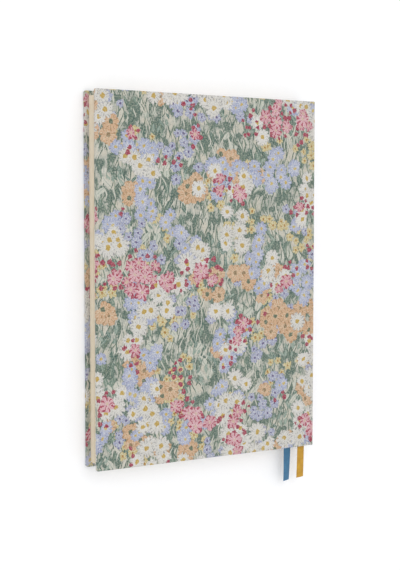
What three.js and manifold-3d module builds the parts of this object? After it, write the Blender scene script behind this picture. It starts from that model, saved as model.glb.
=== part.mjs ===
/**
 * A5 notebook, case bound in printed linen: eight sewn sections, folded endpapers,
 * a three-piece board case joined by cloth hinges, and two register ribbons.
 *
 * Millimetres, +Z up. The closed notebook lies on its front cover: X runs from the fore edge
 * to the spine, Y from the tail to the head, and Z from the front cover to the back cover.
 * The origin is the centre of the underside.
 */
import * as THREE from "three";
import { mergeVertices } from "three/addons/utils/BufferGeometryUtils.js";
import Module from "manifold-3d";

const wasm = await Module();
wasm.setup();

// Paper
const LEAF_WIDTH = 146; // from the fold to the fore edge
const LEAF_HEIGHT = 210;
const SECTIONS_PER_SIDE = 4; // sections on each side of the middle opening
const SECTION_THICKNESS = 1.18; // twelve leaves of 100 g paper
const LEAF_THICKNESS = 0.12;
const ENDPAPER_THICKNESS = 0.15;

// Case
const CLOTH = 0.3;
const BOARD = 1.5;
const SPINE_BOARD = 1.2;
const HEAD_SQUARE = 3; // cover beyond the leaves at head and tail
const FORE_SQUARE = 2.5; // cover beyond the leaves at the fore edge
const JOINT_WIDTH = 5.5; // from the board's edge to the shoulder of the leaves
const GROOVE_DEPTH = 0.7;
const GROOVE_LEAD = 0.4; // cloth level with the cover past the board's edge
const GROOVE_SHOULDER = 2; // width over which the cloth dips into the groove
const SPINE_SHOULDER = 0.95; // width over which the cloth rises from the groove to the spine
const SHOULDER_DROP = 0.15; // spine's shoulder below the face of the cover
const SPINE_CORNER = 0.9; // radius of the cloth where the shoulder turns up the spine
const EDGE_RADIUS = 0.7; // cloth round the board's fore edge
const CORNER_RADIUS = 1.2; // cover's corners, seen from above
const TURN_IN = 15; // cloth folded over to the inside
const PASTEDOWN_INSET = 2.6; // margin of cloth left bare round the pastedown

// Spine of the sewn leaves
const MULL = 0.15;
const KRAFT = 0.15;
const HOLLOW = 0.2; // air between the lining and the case
const MULL_SHORT = 9; // the mull stops this far from head and tail, where the headband is glued
const KERF_DEPTH = 0.95;
const KERF_WIDTH = 0.95;
const THREAD = 0.5;
const SEWING_STATIONS = 5;
const KETTLE_INSET = 13; // outermost stitches from head and tail
const HEADBAND_BEAD = 0.6; // radius

// Ribbons
const RIBBON_WIDTH = 5;
const RIBBON_THICKNESS = 0.25;
const RIBBON_DROOP = 0.8; // how far the tip hangs below the exit
const RIBBON_BEVEL = 0.5; // slope of the cut across the width
const RIBBON_STEPS = 8;
const RIBBON_BEND = 0.1; // gap between the held part and the loose tail's round root
const BLUE_EXIT = 11.8; // centre of the ribbon from the folds, at the tail
const BLUE_TAIL = 26; // from the tail of the leaves to the tip
const BLUE_AFTER = 4; // sections between the front cover and the blue ribbon
const MUSTARD_EXIT = 3.5;
const MUSTARD_TAIL = 24.3;
const MUSTARD_AFTER = 2; // sections between the back cover and the mustard ribbon
const RIBBON_ROOT = 3.8; // centre of both ribbons from the folds, at the head
const RIBBON_HEAD_INSET = 1;

// Clearance between neighbouring sheets, which touch or are glued on the real notebook
const GAP = 0.05;
const SOFT_ARC = 5; // steps in a small arc

// Heights in the front half, from the table to the middle of the leaves
const BOARD_Z = CLOTH + GAP;
const TURN_IN_Z = BOARD_Z + BOARD + GAP;
const PASTEDOWN_Z = TURN_IN_Z + CLOTH + GAP;
const FLYLEAF_Z = PASTEDOWN_Z + ENDPAPER_THICKNESS + GAP;
const SECTIONS_Z = FLYLEAF_Z + ENDPAPER_THICKNESS + GAP;
const SECTION_PITCH = SECTION_THICKNESS + GAP;
const LEAF_Z = SECTIONS_Z + SECTIONS_PER_SIDE * SECTION_PITCH + RIBBON_THICKNESS + GAP;
const THICKNESS = 2 * (LEAF_Z + LEAF_THICKNESS) + GAP;

// Places along X, and half lengths along Y
const SPINE_DEPTH = GAP + MULL + GAP + KRAFT + HOLLOW + CLOTH + GAP + SPINE_BOARD + GAP + CLOTH;
const COVER_WIDTH = FORE_SQUARE + LEAF_WIDTH + SPINE_DEPTH;
const FORE_X = -COVER_WIDTH / 2;
const BACK_X = COVER_WIDTH / 2;
const LEAF_FORE_X = FORE_X + FORE_SQUARE;
const FOLD_X = LEAF_FORE_X + LEAF_WIDTH;
const BOARD_BACK_X = FOLD_X - JOINT_WIDTH;
const MULL_X = FOLD_X + GAP;
const KRAFT_X = MULL_X + MULL + GAP;
const SPINE_BOARD_X = BACK_X - CLOTH - GAP - SPINE_BOARD;
const LEAF_Y = LEAF_HEIGHT / 2;
const COVER_Y = LEAF_Y + HEAD_SQUARE;

const COLOURS = {
  linen: new THREE.MeshStandardMaterial({ color: 0xb9b7a0, roughness: 0.85 }),
  board: new THREE.MeshStandardMaterial({ color: 0x9a9186, roughness: 0.95 }),
  paper: new THREE.MeshStandardMaterial({ color: 0xefe5cf, roughness: 0.9 }),
  endpaper: new THREE.MeshStandardMaterial({ color: 0xf2ebdb, roughness: 0.88 }),
  mull: new THREE.MeshStandardMaterial({ color: 0xe8e4d8, roughness: 0.95 }),
  kraft: new THREE.MeshStandardMaterial({ color: 0xb08d62, roughness: 0.9 }),
  thread: new THREE.MeshStandardMaterial({ color: 0xf3efe4, roughness: 0.7 }),
  headband: new THREE.MeshStandardMaterial({ color: 0xe9e2cf, roughness: 0.7 }),
  blue: new THREE.MeshStandardMaterial({ color: 0x46769e, roughness: 0.45 }),
  mustard: new THREE.MeshStandardMaterial({ color: 0xc59830, roughness: 0.45 }),
};

/** A closed geometry as a manifold-3d solid. */
function solid(geometry) {
  const bare = geometry.index ? geometry.toNonIndexed() : geometry.clone();
  bare.deleteAttribute("normal");
  bare.deleteAttribute("uv");
  const merged = mergeVertices(bare, 1e-4);
  return new wasm.Manifold(
    new wasm.Mesh({
      numProp: 3,
      vertProperties: merged.attributes.position.array,
      triVerts: new Uint32Array(merged.index.array),
    }),
  );
}

/** A manifold-3d solid as a three.js geometry. */
function geometryOf(body) {
  const { numProp, numVert, vertProperties, triVerts } = body.getMesh();
  const position = new Float32Array(numVert * 3);
  for (let i = 0; i < numVert; i++) {
    position.set(vertProperties.subarray(i * numProp, i * numProp + 3), i * 3);
  }
  const geometry = new THREE.BufferGeometry()
    .setAttribute("position", new THREE.BufferAttribute(position, 3))
    .setIndex(new THREE.BufferAttribute(triVerts, 1));
  geometry.computeVertexNormals();
  return geometry;
}

/** Joins solids into one. */
function join(bodies) {
  return bodies.reduce((whole, body) => whole.add(body));
}

/** Block between two corners. */
function block(x0, x1, y0, y1, z0, z1) {
  return new THREE.BoxGeometry(x1 - x0, y1 - y0, z1 - z0).translate(
    (x0 + x1) / 2,
    (y0 + y1) / 2,
    (z0 + z1) / 2,
  );
}

/** An outline in X and Z, drawn anticlockwise, swept along Y. */
function sweepY(shape, y0, y1) {
  return new THREE.ExtrudeGeometry(shape, {
    depth: y1 - y0,
    bevelEnabled: false,
    curveSegments: SOFT_ARC,
  })
    .rotateX(Math.PI / 2)
    .translate(0, y1, 0);
}

/** An outline in X and Y, drawn anticlockwise, swept along Z. */
function sweepZ(shape, z0, z1) {
  return new THREE.ExtrudeGeometry(shape, {
    depth: z1 - z0,
    bevelEnabled: false,
    curveSegments: SOFT_ARC,
  }).translate(0, 0, z0);
}

/** Outline of a sheet of even thickness that follows a line, which lies on the sheet's right. */
function sheetOutline(line, thickness) {
  const normals = line.map((point, i) => {
    const before = line[Math.max(i - 1, 0)];
    const after = line[Math.min(i + 1, line.length - 1)];
    const along = after.clone().sub(before).normalize();
    return new THREE.Vector2(-along.y, along.x);
  });
  const inner = line.map((point, i) => point.clone().addScaledVector(normals[i], thickness));
  return new THREE.Shape([...line, ...inner.reverse()]);
}

/** Points of an arc, angles in quarter turns. */
function arc(cx, cz, radius, from, to) {
  const points = [];
  for (let i = 0; i <= SOFT_ARC; i++) {
    const angle = ((from + ((to - from) * i) / SOFT_ARC) * Math.PI) / 2;
    points.push(new THREE.Vector2(cx + radius * Math.cos(angle), cz + radius * Math.sin(angle)));
  }
  return points;
}

/** Adds a named mesh to a group. */
function place(group, name, geometry, material) {
  const mesh = new THREE.Mesh(geometry, material);
  mesh.name = name;
  group.add(mesh);
}

/** Cover outline seen from above: two rounded corners at the fore edge, square at the joint. */
function coverOutline(inset, backX) {
  const x0 = FORE_X + inset;
  const y = COVER_Y - inset;
  const r = Math.max(CORNER_RADIUS - inset, GAP);
  const outline = new THREE.Shape();
  outline.moveTo(backX, -y);
  outline.lineTo(backX, y);
  outline.lineTo(x0 + r, y);
  outline.absarc(x0 + r, y - r, r, Math.PI / 2, Math.PI, false);
  outline.absarc(x0 + r, -y + r, r, Math.PI, 1.5 * Math.PI, false);
  return outline;
}

/** Stiff greyboard of a cover. */
function coverBoard() {
  return sweepZ(coverOutline(CLOTH + GAP, BOARD_BACK_X), BOARD_Z, BOARD_Z + BOARD);
}

/** Cloth over a board: one skin outside, round the three free edges and turned in. */
function coverCloth() {
  const section = new THREE.Shape();
  const top = TURN_IN_Z + CLOTH;
  section.moveTo(BOARD_BACK_X, 0);
  section.lineTo(BOARD_BACK_X, top);
  section.lineTo(FORE_X + EDGE_RADIUS, top);
  section.absarc(FORE_X + EDGE_RADIUS, top - EDGE_RADIUS, EDGE_RADIUS, Math.PI / 2, Math.PI, false);
  section.absarc(FORE_X + EDGE_RADIUS, EDGE_RADIUS, EDGE_RADIUS, Math.PI, 1.5 * Math.PI, false);
  const outside = solid(sweepY(section, -COVER_Y, COVER_Y));
  const corners = solid(sweepZ(coverOutline(0, BOARD_BACK_X + 1), -1, top + 1));
  const pocket = solid(sweepZ(coverOutline(CLOTH, BOARD_BACK_X + 1), CLOTH, TURN_IN_Z));
  const window = solid(
    block(
      FORE_X + TURN_IN,
      BOARD_BACK_X + 1,
      TURN_IN - COVER_Y,
      COVER_Y - TURN_IN,
      CLOTH,
      top + 1,
    ),
  );
  return geometryOf(outside.intersect(corners).subtract(pocket).subtract(window));
}

/** Sheet glued to the inside of a cover, up to the board's edge. */
function pastedown() {
  return block(
    FORE_X + PASTEDOWN_INSET,
    BOARD_BACK_X,
    -LEAF_Y,
    LEAF_Y,
    PASTEDOWN_Z,
    PASTEDOWN_Z + ENDPAPER_THICKNESS,
  );
}

/** Stretch of the endpaper that crosses the joint to the leaves. */
function endpaperHinge() {
  return block(
    BOARD_BACK_X + GAP,
    FOLD_X - GAP,
    -LEAF_Y,
    LEAF_Y,
    PASTEDOWN_Z,
    PASTEDOWN_Z + ENDPAPER_THICKNESS,
  );
}

/** Cloth across a joint, twice as thick at head and tail, where it is turned in and glued. */
function jointCloth() {
  const line = jointLine();
  const doubled = sheetOutline(line, 2 * CLOTH);
  return geometryOf(
    join([
      solid(sweepY(sheetOutline(line, CLOTH), -COVER_Y, COVER_Y)),
      solid(sweepY(doubled, -COVER_Y, TURN_IN - COVER_Y)),
      solid(sweepY(doubled, COVER_Y - TURN_IN, COVER_Y)),
    ]),
  );
}

/** Outer face of the cloth across a joint: it dips from the board into the groove. */
function jointLine() {
  const start = BOARD_BACK_X + GAP;
  const dipX = start + GROOVE_LEAD;
  const points = [new THREE.Vector2(start, 0)];
  for (let i = 0; i <= 2 * SOFT_ARC; i++) {
    const t = i / (2 * SOFT_ARC);
    const z = (GROOVE_DEPTH * (1 - Math.cos(Math.PI * t))) / 2;
    points.push(new THREE.Vector2(dipX + GROOVE_SHOULDER * t, z));
  }
  points.push(new THREE.Vector2(FOLD_X, GROOVE_DEPTH));
  return points;
}

/** Outer face of the cloth round the spine, from one joint to the other. */
function spineLine() {
  const centreX = BACK_X - SPINE_CORNER;
  const low = SHOULDER_DROP + SPINE_CORNER;
  const half = [...spineShoulder(), ...arc(centreX, low, SPINE_CORNER, -1, 0)];
  const mirrored = half.map((point) => new THREE.Vector2(point.x, THICKNESS - point.y));
  return [...half, ...mirrored.reverse()];
}

/** Rise of the cloth from the bottom of the groove towards the corner of the spine. */
function spineShoulder() {
  const points = [];
  for (let i = 0; i < 2 * SOFT_ARC; i++) {
    const t = i / (2 * SOFT_ARC);
    const rise = ((GROOVE_DEPTH - SHOULDER_DROP) * (1 - Math.cos(Math.PI * t))) / 2;
    points.push(new THREE.Vector2(FOLD_X + GAP + SPINE_SHOULDER * t, GROOVE_DEPTH - rise));
  }
  return points;
}

/** Height of the spine board's lower edge: as far down as the cloth's corner lets it go. */
function spineBoardEdge() {
  return SHOULDER_DROP + SPINE_CORNER - GAP;
}

/** Places of the sewing stations along the fold. */
function stations() {
  const reach = LEAF_Y - KETTLE_INSET;
  return Array.from(
    { length: SEWING_STATIONS },
    (_, i) => -reach + (2 * reach * i) / (SEWING_STATIONS - 1),
  );
}

/** One folded section: flat at the trimmed fore edge, round at the fold, sawn at each station. */
function section(z) {
  const r = SECTION_THICKNESS / 2;
  const outline = new THREE.Shape();
  outline.moveTo(LEAF_FORE_X, z);
  outline.absarc(FOLD_X - r, z + r, r, -Math.PI / 2, Math.PI / 2, false);
  outline.lineTo(LEAF_FORE_X, z + SECTION_THICKNESS);
  let body = solid(sweepY(outline, -LEAF_Y, LEAF_Y));
  for (const y of stations()) {
    const kerf = block(
      FOLD_X - KERF_DEPTH,
      FOLD_X + 1,
      y - KERF_WIDTH / 2,
      y + KERF_WIDTH / 2,
      z - 1,
      z + SECTION_THICKNESS + 1,
    );
    body = body.subtract(solid(kerf));
  }
  return geometryOf(body);
}

/** A single leaf, free to turn, that ends clear of the sewing. */
function looseLeaf(z, thickness) {
  return block(LEAF_FORE_X, FOLD_X - KERF_DEPTH, -LEAF_Y, LEAF_Y, z, z + thickness);
}

/** Height of a ribbon that lies on a number of sections, counted from the cover. */
function ribbonHeight(ribbon) {
  return SECTIONS_Z + ribbon.after * SECTION_PITCH;
}

/** Ribbon between the leaves, from the head of the folds to the tail. */
function heldRibbon(ribbon) {
  const half = RIBBON_WIDTH / 2;
  const rootX = FOLD_X - RIBBON_ROOT;
  const exitX = FOLD_X - ribbon.exit;
  const headY = LEAF_Y - RIBBON_HEAD_INSET;
  const outline = new THREE.Shape();
  outline.moveTo(exitX - half, -LEAF_Y);
  outline.lineTo(exitX + half, -LEAF_Y);
  outline.lineTo(exitX + half, -LEAF_Y / 2);
  outline.lineTo(rootX + half, headY);
  outline.lineTo(rootX - half, headY);
  outline.lineTo(exitX - half, -LEAF_Y / 2);
  const z = ribbonHeight(ribbon);
  return sweepZ(outline, z, z + RIBBON_THICKNESS);
}

/** Loose end of a ribbon: it hangs a little, turns on its round root and is cut on the slant. */
function ribbonTail(ribbon) {
  const half = RIBBON_WIDTH / 2;
  const exitX = FOLD_X - ribbon.exit;
  const rootY = -LEAF_Y - RIBBON_BEND;
  const tipY = -LEAF_Y - ribbon.tail;
  const z = ribbonHeight(ribbon);
  const line = [];
  for (let i = RIBBON_STEPS; i >= 0; i--) {
    const t = i / RIBBON_STEPS;
    line.push(new THREE.Vector2(rootY + (tipY - rootY) * t, z - ribbon.down * RIBBON_DROOP * t * t));
  }
  // The sheet's outline holds Y and Z, so the strip is turned to stand across X.
  const across = new THREE.Matrix4().set(0, 0, 1, exitX - half, 1, 0, 0, 0, 0, 1, 0, 0, 0, 0, 0, 1);
  const strip = new THREE.ExtrudeGeometry(sheetOutline(line, RIBBON_THICKNESS), {
    depth: RIBBON_WIDTH,
    bevelEnabled: false,
  }).applyMatrix4(across);
  const plan = new THREE.Shape();
  plan.moveTo(exitX - half, tipY);
  plan.lineTo(exitX + half, tipY + RIBBON_BEVEL);
  plan.lineTo(exitX + half, rootY - half);
  plan.absarc(exitX, rootY - half, half, 0, Math.PI, false);
  const reach = RIBBON_DROOP + RIBBON_THICKNESS;
  return geometryOf(solid(strip).intersect(solid(sweepZ(plan, z - reach, z + reach))));
}

/** Headband: a wrapped bead on the edge of the leaves, with its tape glued down the folds. */
function headband(end) {
  const beadY = LEAF_Y + GAP + HEADBAND_BEAD;
  const tapeY = LEAF_Y - MULL_SHORT + GAP;
  const centreX = MULL_X + MULL - HEADBAND_BEAD;
  const outline = new THREE.Shape();
  outline.moveTo(MULL_X, tapeY);
  outline.lineTo(MULL_X + MULL, tapeY);
  outline.absarc(centreX, beadY, HEADBAND_BEAD, 0, 1.5 * Math.PI, false);
  outline.lineTo(MULL_X, beadY - HEADBAND_BEAD);
  const strip = sweepZ(outline, SECTIONS_Z, THICKNESS - SECTIONS_Z);
  return end > 0 ? strip : geometryOf(solid(strip).mirror([0, 1, 0]));
}

/** Everything between one cover and the middle opening, built as the front half. */
function buildSide(name, sectionNumbers, ribbon) {
  const side = new THREE.Group();
  place(side, `${name}_board`, coverBoard(), COLOURS.board);
  place(side, `${name}_cloth`, coverCloth(), COLOURS.linen);
  place(side, `${name}_joint_cloth`, jointCloth(), COLOURS.linen);
  place(side, `${name}_pastedown`, pastedown(), COLOURS.endpaper);
  place(side, `${name}_endpaper_hinge`, endpaperHinge(), COLOURS.endpaper);
  place(side, `${name}_flyleaf`, looseLeaf(FLYLEAF_Z, ENDPAPER_THICKNESS), COLOURS.endpaper);
  sectionNumbers.forEach((number, i) => {
    const spread = i < ribbon.after ? 0 : RIBBON_THICKNESS + GAP;
    place(side, `section_${number}`, section(SECTIONS_Z + i * SECTION_PITCH + spread), COLOURS.paper);
  });
  place(side, `${name}_middle_leaf`, looseLeaf(LEAF_Z, LEAF_THICKNESS), COLOURS.paper);
  place(side, `${ribbon.name}_ribbon_held`, heldRibbon(ribbon), ribbon.colour);
  place(side, `${ribbon.name}_ribbon_tail`, ribbonTail(ribbon), ribbon.colour);
  return side;
}

/** The case's spine, the lining of the leaves, their sewing and the two headbands. */
function buildSpine() {
  const spine = new THREE.Group();
  const edge = spineBoardEdge();
  const boardY = COVER_Y - CLOTH - GAP;
  const flapDepth = CLOTH + GAP + SPINE_BOARD + GAP;
  place(
    spine,
    "spine_board",
    block(SPINE_BOARD_X, SPINE_BOARD_X + SPINE_BOARD, -boardY, boardY, edge, THICKNESS - edge),
    COLOURS.board,
  );
  place(spine, "spine_cloth", spineCloth(flapDepth), COLOURS.linen);
  const mullY = LEAF_Y - MULL_SHORT;
  place(
    spine,
    "spine_mull",
    block(MULL_X, MULL_X + MULL, -mullY, mullY, SECTIONS_Z, THICKNESS - SECTIONS_Z),
    COLOURS.mull,
  );
  place(
    spine,
    "spine_kraft_lining",
    block(KRAFT_X, KRAFT_X + KRAFT, -LEAF_Y, LEAF_Y, SECTIONS_Z, THICKNESS - SECTIONS_Z),
    COLOURS.kraft,
  );
  place(spine, "headband", headband(1), COLOURS.headband);
  place(spine, "tailband", headband(-1), COLOURS.headband);
  const stitchLength = THICKNESS - 2 * SECTIONS_Z;
  stations().forEach((y, i) => {
    const stitch = new THREE.CylinderGeometry(THREAD / 2, THREAD / 2, stitchLength, 8);
    stitch.rotateX(Math.PI / 2);
    stitch.translate(FOLD_X - KERF_DEPTH / 2, y, THICKNESS / 2);
    place(spine, `sewing_stitch_${i + 1}`, stitch, COLOURS.thread);
  });
  return spine;
}

/** Cloth round the spine: a skin outside and two short flaps inside the spine board. */
function spineCloth(flapDepth) {
  const skin = solid(sweepY(sheetOutline(spineLine(), CLOTH), -COVER_Y, COVER_Y));
  const flapX = BACK_X - flapDepth - CLOTH;
  const edge = spineBoardEdge();
  const pieces = [skin];
  for (const end of [-1, 1]) {
    const outer = end * COVER_Y;
    const inner = end * (COVER_Y - TURN_IN);
    const wall = end * (COVER_Y - CLOTH);
    const [flapLow, flapHigh] = [Math.min(outer, inner), Math.max(outer, inner)];
    const [wallLow, wallHigh] = [Math.min(outer, wall), Math.max(outer, wall)];
    pieces.push(
      solid(block(flapX, flapX + CLOTH, flapLow, flapHigh, edge, THICKNESS - edge)),
      solid(block(flapX, BACK_X - CLOTH / 2, wallLow, wallHigh, edge, THICKNESS - edge)),
    );
  }
  return geometryOf(join(pieces));
}

const BLUE_RIBBON = {
  name: "blue",
  exit: BLUE_EXIT,
  tail: BLUE_TAIL,
  after: BLUE_AFTER,
  down: 1,
  colour: COLOURS.blue,
};
const MUSTARD_RIBBON = {
  name: "mustard",
  exit: MUSTARD_EXIT,
  tail: MUSTARD_TAIL,
  after: MUSTARD_AFTER,
  down: -1, // the back half is built upside down
  colour: COLOURS.mustard,
};

const numbers = Array.from({ length: SECTIONS_PER_SIDE }, (_, i) => i + 1);
const last = 2 * SECTIONS_PER_SIDE + 1;
const notebook = new THREE.Group();
notebook.add(buildSide("front", numbers, BLUE_RIBBON));
const backSide = buildSide("back", numbers.map((number) => last - number), MUSTARD_RIBBON);
backSide.scale.z = -1;
backSide.position.z = THICKNESS;
notebook.add(backSide);
notebook.add(buildSpine());

export default notebook;
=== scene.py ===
"""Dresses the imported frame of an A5 notebook that is case bound in printed linen.

The frame lies on its front cover. X runs from the fore edge to the spine, Y from the
tail to the head and Z from the front cover to the back cover, in metres.
"""

import logging
import math
from dataclasses import dataclass, field
from enum import Enum
from typing import Any, Sequence

import bpy
from mathutils import Matrix, Vector

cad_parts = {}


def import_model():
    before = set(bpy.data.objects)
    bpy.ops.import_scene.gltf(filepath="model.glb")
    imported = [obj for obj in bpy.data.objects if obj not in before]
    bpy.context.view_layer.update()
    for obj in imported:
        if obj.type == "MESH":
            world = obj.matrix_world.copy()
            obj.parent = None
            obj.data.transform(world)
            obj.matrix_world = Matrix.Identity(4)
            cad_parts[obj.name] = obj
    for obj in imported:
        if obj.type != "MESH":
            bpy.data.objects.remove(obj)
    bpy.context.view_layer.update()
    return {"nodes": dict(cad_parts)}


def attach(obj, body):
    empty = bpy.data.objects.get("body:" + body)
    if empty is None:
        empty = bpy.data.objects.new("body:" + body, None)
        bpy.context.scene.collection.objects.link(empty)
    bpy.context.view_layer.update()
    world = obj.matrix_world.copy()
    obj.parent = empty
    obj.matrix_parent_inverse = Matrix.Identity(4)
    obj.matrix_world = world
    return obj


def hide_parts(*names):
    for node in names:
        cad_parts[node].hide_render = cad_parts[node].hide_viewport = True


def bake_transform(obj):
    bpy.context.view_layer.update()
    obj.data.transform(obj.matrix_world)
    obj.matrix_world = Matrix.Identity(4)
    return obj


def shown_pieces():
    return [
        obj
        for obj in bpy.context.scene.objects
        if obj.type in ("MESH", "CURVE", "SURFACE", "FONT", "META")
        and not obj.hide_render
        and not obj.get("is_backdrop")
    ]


LOG = logging.getLogger("notebook")
MM = 0.001
PRINT_MAP = "print"
WEAVE_MAP = "weave"
SHARP_ANGLE = math.radians(35)

Pair = tuple[float, float]
Triple = tuple[float, float, float]


class Side(Enum):
    """The two halves of the case; the value is the way that Z grows from the outside in."""

    FRONT = 1
    BACK = -1


@dataclass(frozen=True)
class Sizes:
    """Sizes of the notebook in millimetres, as in the part's source."""

    leaf_height: float = 210.0
    section: float = 1.18
    folded_sheets: int = 6
    sections_per_side: int = 4
    cloth: float = 0.3
    groove_depth: float = 0.7
    groove_lead: float = 0.4
    groove_shoulder: float = 2.0
    spine_shoulder: float = 0.95
    shoulder_drop: float = 0.15
    spine_corner: float = 0.9
    edge_radius: float = 0.7
    corner_radius: float = 1.2
    turn_in: float = 15.0
    pastedown_inset: float = 2.6
    endpaper: float = 0.15
    flyleaf_z: float = 2.525
    flyleaf_bend: float = 6.0
    middle_leaf: float = 0.12
    middle_leaf_z: Pair = (7.93, 8.1)
    middle_leaf_bend: float = 10.0
    gap: float = 0.05
    ribbon_width: float = 5.0
    ribbon_thickness: float = 0.25
    thickness: float = 16.03
    fore_x: float = -75.5
    back_x: float = 75.5
    leaf_fore_x: float = -73.0
    fold_x: float = 73.0
    board_back_x: float = 67.5
    cover_y: float = 108.0
    leaf_y: float = 105.0
    sections_z: float = 2.65
    pastedown_z: float = 2.25
    turn_in_top: float = 2.2
    joint_bend: Pair = (70.0, 72.9)
    spine_levels: tuple[float, ...] = (1.2, 1.4, 1.7, 2.4, 5.0)

    def depth(self, side: Side, z: float) -> float:
        """Returns the height of a point that lies z inside the outer face of one side."""
        return z if side is Side.FRONT else self.thickness - z


SIZES = Sizes()


def linear(value: str) -> tuple[float, float, float, float]:
    """Turns an sRGB hex colour into linear light.

    Args:
        value: Six hex digits.

    Returns:
        Red, green, blue and an alpha of one.
    """
    parts = [int(value[i : i + 2], 16) / 255 for i in (0, 2, 4)]
    light = [p / 12.92 if p <= 0.04045 else ((p + 0.055) / 1.055) ** 2.4 for p in parts]
    return (light[0], light[1], light[2], 1.0)


def add(
    tree: bpy.types.NodeTree,
    kind: str,
    inputs: dict[int | str, Any] | None = None,
    **settings: Any,
) -> bpy.types.Node:
    """Adds a node to a tree.

    Args:
        tree: The tree.
        kind: The node's type.
        inputs: A value, a socket or a node for an input's index, identifier or name.
        **settings: The node's own settings.

    Returns:
        The node.
    """
    node = tree.nodes.new(kind)
    for key, value in settings.items():
        setattr(node, key, value)
    by_identifier = {socket.identifier: socket for socket in node.inputs}
    for key, value in (inputs or {}).items():
        socket = by_identifier[key] if key in by_identifier else node.inputs[key]
        if isinstance(value, bpy.types.Node):
            value = next(output for output in value.outputs if output.enabled)
        if isinstance(value, bpy.types.NodeSocket):
            tree.links.new(value, socket)
        else:
            socket.default_value = value
    return node


def smoothstep(t: float) -> float:
    """Returns the smooth step from 0 to 1 of a number, held at its ends."""
    t = min(max(t, 0.0), 1.0)
    return t * t * (3 - 2 * t)


def mesh_piece(
    name: str,
    points: Sequence[Triple],
    faces: Sequence[Sequence[int]],
    material: bpy.types.Material,
    uvs: Sequence[Pair] | None = None,
    uv_name: str = PRINT_MAP,
) -> bpy.types.Object:
    """Makes a piece from points in millimetres.

    Args:
        name: The object's name.
        points: The points.
        faces: The faces, facing out.
        material: The finish.
        uvs: A place in the pattern for each point, in millimetres.
        uv_name: The name of the pattern's map.

    Returns:
        The object, linked to the scene.
    """
    mesh = bpy.data.meshes.new(name)
    mesh.from_pydata([tuple(c * MM for c in p) for p in points], [], [list(f) for f in faces])
    if uvs is not None:
        layer = mesh.uv_layers.new(name=uv_name)
        for loop in mesh.loops:
            layer.data[loop.index].uv = uvs[loop.vertex_index]
    mesh.materials.append(material)
    mesh.update()
    piece = bpy.data.objects.new(name, mesh)
    bpy.context.collection.objects.link(piece)
    return piece


def grid_faces(columns: int, rows: int) -> list[list[int]]:
    """Joins the points of a grid that was filled column by column.

    Args:
        columns: Number of columns.
        rows: Points in each column.

    Returns:
        The faces.
    """
    corners = [i * rows + j for i in range(columns - 1) for j in range(rows - 1)]
    return [[a, a + 1, a + rows + 1, a + rows] for a in corners]


def apply_modifiers(piece: bpy.types.Object) -> None:
    """Puts the result of a piece's modifiers in its mesh and takes the modifiers off.
    """
    evaluated = piece.evaluated_get(bpy.context.evaluated_depsgraph_get())
    mesh = bpy.data.meshes.new_from_object(evaluated)
    mesh.name = piece.name
    old = piece.data
    piece.modifiers.clear()
    piece.data = mesh
    bpy.data.meshes.remove(old)


def thicken(piece: bpy.types.Object, thickness: float, offset: float) -> None:
    """Gives a skin its thickness and smooths its curves.

    Args:
        piece: An open skin that faces out.
        thickness: In millimetres.
        offset: Minus one puts the thickness inside the skin, zero on both sides.
    """
    shell = piece.modifiers.new("thickness", "SOLIDIFY")
    shell.thickness = thickness * MM
    shell.offset = offset
    apply_modifiers(piece)
    smooth(piece)


def smooth(piece: bpy.types.Object) -> None:
    """Shades a piece smooth apart from its sharp edges.

    Args:
        piece: The piece.
    """
    for face in piece.data.polygons:
        face.use_smooth = True
    piece.data.set_sharp_from_angle(angle=SHARP_ANGLE)


def dress_nodes(frame: dict[str, Any], names: Sequence[str], material: bpy.types.Material) -> None:
    """Gives nodes of the frame a finish.

    Args:
        names: The nodes.
        material: The finish.
    """
    for name in names:
        node = frame["nodes"][name]
        if node.material_slots:
            node.material_slots[0].material = material
        else:
            node.data.materials.append(material)
        LOG.info("dressed %s", name)


def new_material(name: str) -> tuple[bpy.types.Material, bpy.types.NodeTree]:
    """Makes a material without nodes.

    Args:
        name: The material's name.

    Returns:
        The material and its empty tree.
    """
    material = bpy.data.materials.new(name)
    material.use_nodes = True
    material.node_tree.nodes.clear()
    return material, material.node_tree


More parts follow.
